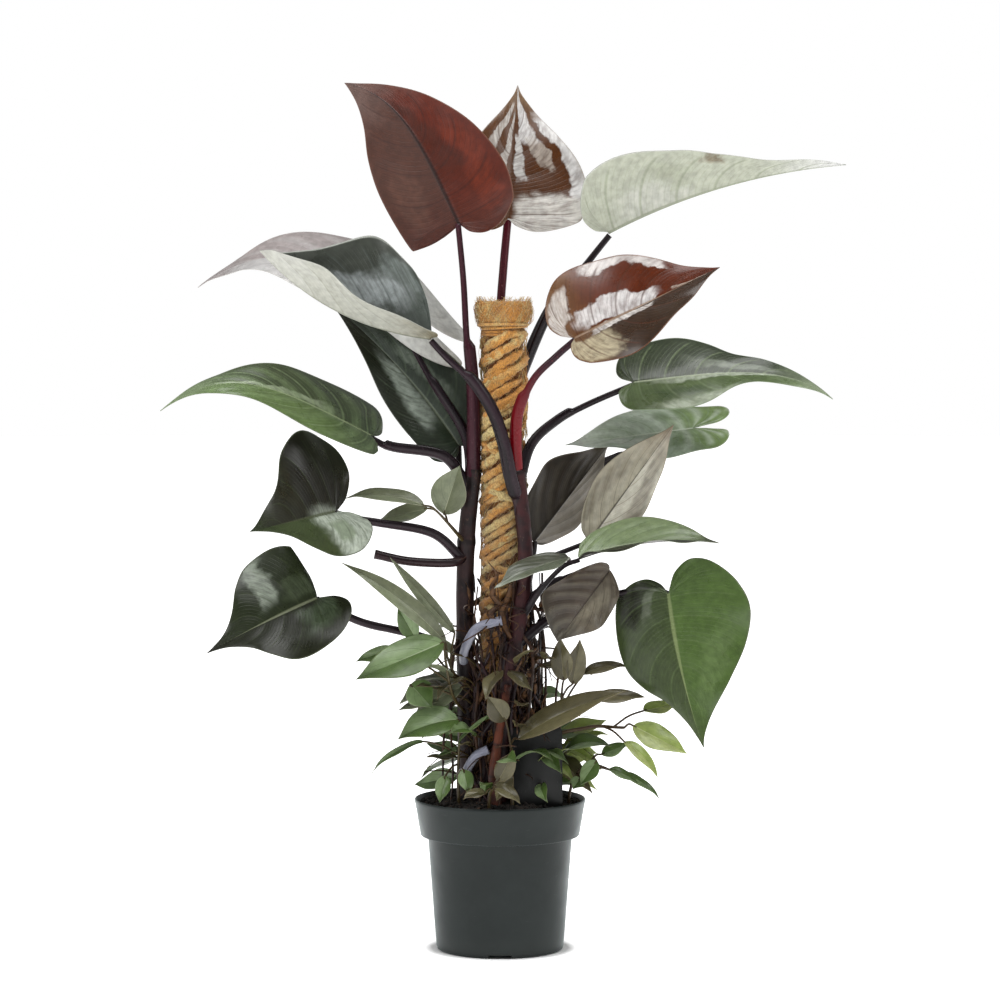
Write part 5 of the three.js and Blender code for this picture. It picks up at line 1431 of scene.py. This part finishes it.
def make_fill(surfaces, stalk_surface):
    """Small narrow leaves on thin stalks that fill the foot of the plant."""
    draw = random.Random(SEED + 3)
    for k, (count, slot, angles, heights) in enumerate(FILL):
        shape = Shape()
        for _ in range(count):
            away = polar(1, math.radians(draw.uniform(*angles)))
            height = draw.uniform(*heights)
            start = Vector((POLE["x"], POLE["y"], height - draw.uniform(8, 30))) + away * 30
            base = Vector((POLE["x"], POLE["y"], height)) + away * draw.uniform(46, 70)
            heading = turned_by(draw.uniform(-0.8, 0.8)) @ away
            length = draw.uniform(30, 62)
            tip = base + heading * length + Vector((0, 0, length * draw.uniform(-0.7, 0.5)))
            tip.z = max(tip.z, SOIL["crown"] + 3)
            half = length * draw.uniform(0.16, 0.26)
            face = (draw.uniform(-0.5, 0.5), -0.5 - 0.4 * away.y, draw.uniform(0.4, 1))
            add_small_leaf(
                shape, start, 5, base=base, tip=tip, face=face, wave=(1.2, 1.5, draw.uniform(0, 6)),
                halves=(half, half * draw.uniform(0.8, 1.1)), bow=draw.uniform(0.02, 0.16), fold=(18, 18),
                sweep=draw.uniform(-0.06, 0.06),
            )
        shape.make("fill_leaves_%d" % k, (surfaces[slot], stalk_surface), slot)


# The pole
def coir_radius(z):
    """The radius of the wound coir at a height, with its neck and head at the top."""
    size = COIR["radius"]
    down = POLE["top"] - z
    for (high_down, high_size), (next_down, next_size) in zip(COIR_HEAD, COIR_HEAD[1:]):
        if next_down <= down <= high_down:
            size = high_size + (next_size - high_size) * (high_down - down) / (high_down - next_down)
    return size


def coir_fall(z):
    """How dark the coir is at a height: 0 in the golden upper part, up to 1 in the damp lower part."""
    return step(z, COIR["golden"], COIR["damp"])


def pole_point(z, angle, stand=0):
    return beside_pole(coir_radius(z) + stand, angle, z)


def add_strand(shape, points, radius, tone, sides=3, twist=0.0):
    """A fibre or cord through points. tone is its place in the colours of the coir."""
    rings = []
    for i, point in enumerate(points):
        along = (points[min(i + 1, len(points) - 1)] - points[max(i - 1, 0)]).normalized()
        across = along.cross(off_pole(point, 0.01)).normalized()
        out = across.cross(along)
        thick = radius * (1 - 0.6 * abs(2 * i / (len(points) - 1) - 1) ** 3)
        if twist:
            thick *= 1 + 0.14 * math.sin(1.9 * i + 9 * tone)
        ring = []
        for a in turns(sides):
            ply = 1 + (0.16 * math.cos(3 * a + twist * i) if twist else 0)
            ring.append(point + (out * math.cos(a) + across * math.sin(a)) * thick * ply)
        rings.append(ring)
    shape.skin(rings, (tone, coir_fall(points[len(points) // 2].z)))


def add_mat(body, draw):
    """The fibre mat under the cords, closed at the bottom and dished at the top."""
    rows, sides = MAT
    low = POLE["bottom"]
    top = POLE["top"]
    for i in range(rows + 1):
        z = low + (top - 2 - low) * i / rows
        for angle in turns(sides):
            rough = 0.6 * math.sin(26 * angle + 0.9 * z) * math.sin(17 * angle - 0.55 * z + 2)
            sunk = -2.2 if z < top - CORD["below_head"] else -0.6
            body.points.append(pole_point(z, angle, sunk + rough + draw.uniform(-0.3, 0.3)))

    def corner(i, j):
        z = low + (top - low) * i / rows
        head = step(z, top - 40, top - 28)
        tone = 0.12 + 0.42 * head + 0.08 * math.sin(4 * math.pi * j / sides + 0.09 * i)
        return (i * sides + j % sides, (tone, coir_fall(z)), (i / rows, j / sides))

    body.weave(corner, rows, sides)
    body.face([corner(0, j) for j in reversed(range(sides))])
    crown = len(body.points)
    body.points.append(Vector((POLE["x"], POLE["y"], top - 7)))
    for j in range(sides):
        body.face((corner(rows, j), corner(rows, j + 1), (crown, (0.2, 0), (1, 0))))


def add_cord(body, height, start, lean, ends, draw):
    """A thick twisted cord that winds half round the pole and dives under the next one."""
    span = draw.uniform(*CORD["span"])
    rise = draw.uniform(*CORD["rise"]) * lean * span * coir_radius(height)
    thick = draw.uniform(*CORD["radii"])
    points = []
    for f in shares(26):
        z = height + rise * (f - 0.5) + 1.5 * math.sin(6 * f + start)
        over = CORD["stand"] * math.sin(math.pi * f) ** 0.5 - 2.4
        points.append(pole_point(min(max(z, ends[0]), ends[1]), start + span * f, over))
    add_strand(body, points, thick, draw.uniform(0.45, 0.95), 10, 0.9)


def add_fibre(strands, draw):
    """A loose fibre that lies on the cords, or stands a little off them."""
    top = POLE["top"]
    z = draw.uniform(SOIL["crown"], top - 6)
    angle = draw.uniform(0, 2 * math.pi)
    lean = draw.choice((-1, 1, 1)) * draw.uniform(0.3, 1.5)
    length = min(draw.uniform(*FIBRES["length"]), top - z)
    lift = draw.uniform(0.6, 3.2) if draw.random() < FIBRES["raised"] else draw.uniform(0.1, 0.8)
    bend = draw.uniform(-0.5, 0.5)
    points = []
    for f in shares(6):
        turn = angle + lean * length * f / COIR["radius"] * 0.6 + bend * f * f * 0.4
        points.append(pole_point(min(z + length * f, top), turn, 1.0 + lift * math.sin(math.pi * f)))
    add_strand(strands, points, draw.uniform(*FIBRES["radius"]), draw.uniform(0.2, 1.1))


def add_tuft(strands, draw):
    """A fibre of the frayed head, up and outwards."""
    top = POLE["top"]
    angle = draw.uniform(0, 2 * math.pi)
    z = top - draw.uniform(*TUFT["below_top"])
    length = draw.uniform(*TUFT["length"])
    out = draw.uniform(0.1, 1.0)
    side = draw.uniform(-0.8, 0.8)
    points = []
    for f in shares(4):
        point = pole_point(z, angle + side * f * 0.25, -1 + 4.5 * out * f)
        point.z = min(z + length * f * (1 - 0.4 * out * f), top + 3)
        points.append(point)
    add_strand(strands, points, draw.uniform(*TUFT["radius"]), draw.uniform(0.5, 1.1))


def make_coir(body_surface, strand_surface):
    """The matted core with its wound cords, and over them the loose fibres and the frayed head."""
    draw = random.Random(SEED)
    body = Shape()
    add_mat(body, draw)
    pitch = CORD["pitch"]
    low = SOIL["crown"] - 2
    high = POLE["top"] - CORD["below_head"]
    height = low
    while height < high + pitch:
        for side in turns(2):
            lean = -1 if draw.random() < CORD["crossing"] else 1
            add_cord(body, height, side + draw.uniform(-0.6, 0.6), lean, (low, high), draw)
        height += pitch * draw.uniform(0.85, 1.15)
    for k in range(NECK["turns"]):
        height = POLE["top"] - NECK["below_top"] + NECK["pitch"] * (k - (NECK["turns"] - 1) / 2)
        route = [pole_point(height + 1.4 * math.sin(a + k), a, 1.2) for a in turns(40)]
        add_strand(body, [*route, *route[:2]], NECK["radius"], 0.3 + 0.12 * k, 8)
    body.make("coir_winding", (body_surface,), "coir", ("coir_wrap",))

    strands = Shape()
    for _ in range(FIBRES["count"]):
        add_fibre(strands, draw)
    for _ in range(TUFT["count"]):
        add_tuft(strands, draw)
    strands.make("coir_strands", (strand_surface,), "coir")


# The soil, the pot and the tag
def mound(radius, angle):
    """The height of the soil, as in the part: a lumpy mound that is highest in the middle."""
    share = radius / SOIL["radius"]
    level = SOIL["edge"] + (SOIL["crown"] - SOIL["edge"]) * (1 - share * share)
    i = (1 - share) * (SOIL["rings"] + 0.4)
    rough = SOIL["lump"] * math.sin(5 * angle + 2 * i) * math.cos(3 * angle - 4 * i)
    return level + rough * min(i, 1)


def add_crumb(shape, place, size, draw):
    """A rough lump of a few rings."""
    rings = []
    flat = draw.uniform(0.5, 0.9)
    for i in range(5):
        polar_angle = math.pi * (i + 0.5) / 5
        ring = []
        for a in turns(7):
            radius = size * draw.uniform(0.75, 1.15)
            level = -radius * flat * math.cos(polar_angle)
            ring.append(place + polar(radius * math.sin(polar_angle), a, level))
        rings.append(ring)
    shape.skin(rings)


def make_soil(surface):
    """The surface of the potting mix with its crumbs, and its body down to the pot's floor."""
    draw = random.Random(SEED + 1)
    shape = Shape()
    rings = [[polar(radius, a, z) for a in turns(SOIL_SIDES)] for radius, z in SOIL_WALLS]
    for i in range(SOIL_STEPS):
        radius = (SOIL["radius"] - 0.4) * (1 - i / SOIL_STEPS)
        ring = []
        for a in turns(SOIL_SIDES):
            crumb = draw.uniform(-0.9, 0.9) + 0.9 * math.sin(19 * a + i) * math.sin(0.9 * i)
            ring.append(polar(radius, a, mound(radius, a) + crumb))
        rings.append(ring)
    shape.skin(rings)
    for _ in range(CRUMBS["count"]):
        radius = CRUMBS["reach"] * math.sqrt(draw.random())
        a = draw.uniform(0, 2 * math.pi)
        size = draw.uniform(*CRUMBS["size"])
        add_crumb(shape, polar(radius, a, mound(radius, a) + 0.3 * size), size, draw)
    shape.make("soil_mix", (surface,), "soil", ("soil",))


def pot_profile():
    """The pot's section as radius and height, from the middle of the base out, up and back inside."""
    height = POT["height"]
    ledge = height - POT["band_height"]
    wall = POT["wall"]
    channel = POT["channel"]
    raised = POT["channel_height"]
    foot = POT["foot"]
    neck = POT["neck"]
    band = POT["band_bottom"]
    rim = POT["rim"]
    floor = POT["floor"]
    slope = (rim - band) / POT["band_height"]
    inner_top = band - wall + slope * (height - 1 - ledge)
    sides = [(foot + (neck - foot) * share, ledge * share) for share in (0.25, 0.5, 0.75)]
    return (
        (0, 0), (channel * 0.5, 0), (channel - 0.6, 0), (channel, 0.5), (channel + 2, raised),
        (foot - 6.2, raised), (foot - 5.4, 3), (foot - 5, 0.6), (foot - 4.6, 0), (foot - 2.4, 0),
        (foot - 1.4, 0.25), (foot - 0.5, 1), (foot - 0.05, 2.2), (foot + 0.15, 4), *sides,
        (neck - 0.1, ledge - 2.5), (neck + 0.2, ledge - 0.8), (neck + 1.2, ledge - 0.15),
        (band - 1.4, ledge), (band - 0.5, ledge + 0.2), (band - 0.1, ledge + 0.8),
        (band + 0.15, ledge + 2), (band + slope * 14, ledge + 14), (band + slope * 27, ledge + 27),
        (rim - 0.35, height - 4.4), (rim - 0.1, height - 3.4), (rim, height - 2),
        (rim - 0.15, height - 0.7), (rim - 0.6, height - 0.1), (rim - 1, height),
        (rim - 1.5, height - 0.2), (inner_top, height - 1),
        (band - wall, ledge + wall), (neck - wall, ledge - wall), (foot - wall, floor + raised),
        (channel, floor + raised), (channel - wall, floor), (0, floor),
    )


def pot_cuts():
    """The drainage holes and the notches in the foot, as closed shapes."""
    holes = Shape()
    for a in turns(POT["drains"]):
        centre = polar(POT["channel"] + 8, a + math.pi / POT["drains"])
        holes.skin([[centre + polar(POT["drain_radius"], b, z) for b in turns(32)] for z in (-1, 12)])
    half = POT["notch_width"] / 2
    tall = POT["channel_height"] - 0.5
    arch = [(half, -1), (half - 0.4, tall - 0.8), (half - 1.4, tall)]
    section = [(-half, -1), *arch, *((-y, z) for y, z in arch[:0:-1])]
    for a in turns(POT["notches"]):
        turned = turned_by(a)
        depths = (POT["foot"] - 9, POT["foot"] + 7)
        holes.skin([[turned @ Vector((x, y, z)) for y, z in section] for x in depths])
    return holes


def make_pot(surface):
    """A lathed pot, with its drainage holes and the notches in its foot cut out."""
    sides = POT_SIDES
    shape = Shape()
    profile = pot_profile()
    last = len(profile) - 1
    for radius, z in profile:
        shape.points.extend(polar(radius, a, z) for a in turns(sides))

    def corner(i, j):
        index = i * sides + (j % sides if 0 < i < last else 0)
        return (index, (i / last, j / sides), (i / last, j / sides))

    shape.weave(corner, last, sides)
    piece = shape.make("pot_shell", (surface,), "pot", ("pot",))
    holes = pot_cuts()
    cutter = add_object("pot_cuts", holes.points, holes.faces)
    cut = piece.modifiers.new("cut", "BOOLEAN")
    cut.operation = "DIFFERENCE"
    cut.solver = "EXACT"
    cut.object = cutter
    bpy.context.view_layer.update()
    made = bpy.data.meshes.new_from_object(piece.evaluated_get(bpy.context.evaluated_depsgraph_get()))
    piece.modifiers.clear()
    piece.data = made
    bpy.data.objects.remove(cutter)


def make_tag(surface):
    """A plain card on a pointed foot, with softly rounded edges and a slight bow."""
    half = TAG["width"] / 2
    low = -TAG["point"]
    top = TAG["height"] + low
    corner = TAG["corner"]
    outline = [(-TAG["foot"], low), (TAG["foot"], low), (half, 0), (half, top - corner)]
    outline += [(half - corner + corner * math.cos(a), top - corner + corner * math.sin(a))
                for a in (0.35, 0.7, 1.05, 1.4)]
    outline += [(corner - half - corner * math.sin(a), top - corner + corner * math.cos(a))
                for a in (0.2, 0.55, 0.9, 1.25)]
    outline += [(-half, top - corner), (-half, 0)]
    turned = turned_by(math.radians(TAG["turn"])) @ Matrix.Rotation(math.radians(TAG["lean"]), 3, "X")
    middle = Vector((0, 0, (top + low) / 2))
    edge = TAG["thickness"] / 2
    rings = []
    for y, inset in ((edge, 0.35), (edge * 0.7, 0.08), (-edge * 0.7, 0.08), (-edge, 0.35)):
        ring = []
        for x, z in outline:
            point = Vector((x, 0, z))
            inward = (middle - point).normalized() * inset
            bow = 0.9 * (1 - (x / half) ** 2) * step(z, 0, top)
            ring.append(turned @ (point + inward + Vector((0, y - bow + 0.3, 0))) + Vector(TAG["place"]))
        rings.append(ring)
    shape = Shape()
    shape.skin(rings)
    shape.make("tag_card", (surface,), "plant_tag", ("plant_tag",))


def dress(node, material):
    """Gives a node that stays as it is a better material."""
    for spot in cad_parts[node].material_slots:
        spot.material = material


# The studio
def add_stage(surface):
    corners = [polar(FLOOR_REACH, a, -0.5) for a in turns(64)]
    floor = add_object("studio_floor", corners, [list(range(len(corners)))])
    floor.data.materials.append(surface)
    floor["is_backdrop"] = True


def add_world():
    """White behind the plant, dimmer in front and above, so that dark leaves stay dark.

    The background itself is white on all sides.
    """
    world = bpy.data.worlds.new("studio")
    world.use_nodes = True
    nodes = Nodes(world.node_tree)
    _, back, high = nodes.parts(nodes.place("Generated"))
    level = high.ramp(*ROOM["up"], back.ramp(*ROOM["back"], ROOM["front"], 1.0), ROOM["ceiling"])
    seen = nodes.value("ShaderNodeLightPath", output="Is Camera Ray")
    background = nodes.tree.nodes["Background"]
    nodes.put((1, 1, 1, 1), background.inputs[0])
    nodes.put(level.math("MAXIMUM", seen), background.inputs[1])
    bpy.context.scene.world = world


def aim_object(name, data, place, aim):
    """A lamp or camera at a place, in metres, that looks at its aim."""
    made = bpy.data.objects.new(name, data)
    made.location = place
    made.rotation_euler = (Vector(aim) - Vector(place)).to_track_quat("-Z", "Y").to_euler()
    bpy.context.scene.collection.objects.link(made)
    return made


def add_light(name, place, aim, size, power):
    data = bpy.data.lights.new(name, "AREA")
    data.shape = "RECTANGLE"
    data.size, data.size_y = size
    data.energy = power
    aim_object(name, data, place, aim)


def add_camera():
    data = bpy.data.cameras.new("camera")
    data.lens = CAMERA["lens"]
    data.sensor_width = 36
    data.clip_end = 60
    bpy.context.scene.camera = aim_object("camera", data, CAMERA["place"], CAMERA["aim"])


petiole_skins = {}
for given in LEAVES:
    leaf = {**PLAIN_LEAF, **given}
    make_leaf(leaf)
    make_petiole(leaf, petiole_skins)

skins = {name: bark_surface(name, *tones) for name, tones in BARKS.items()}
skins.update((name, petiole_surface(name, *tones)) for name, tones in SKINS.items())
for given in STEMS:
    make_stem(given, skins)
make_undergrowth(skins)
make_collars(skins["cane_skin"])

small_surfaces = {}
for slot, look in SHOOT_LOOKS.items():
    small_surfaces[slot] = leaf_surface(slot + "_blade", look, SMALL["veins"], ROUGHNESS["small"])
for given in SHOOTS:
    make_shoot(given, small_surfaces, skins["shoot_stalk"])
make_fill(small_surfaces, skins["shoot_stalk"])

make_coir(coir_surface("coir_mat", 0.0012), coir_surface("coir_fibre", 0.0002))
make_soil(soil_surface())
make_pot(pot_surface())
make_tag(tag_surface())
dress("pole_core", wood_surface())

add_stage(floor_surface())
for name, lamp in LAMPS.items():
    add_light(name, *lamp)
add_world()
bpy.context.scene.view_settings.view_transform = "Standard"
add_camera()

for key, box in (("cad", cad_box), ("visual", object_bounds())):
    [list(corner) for corner in box]
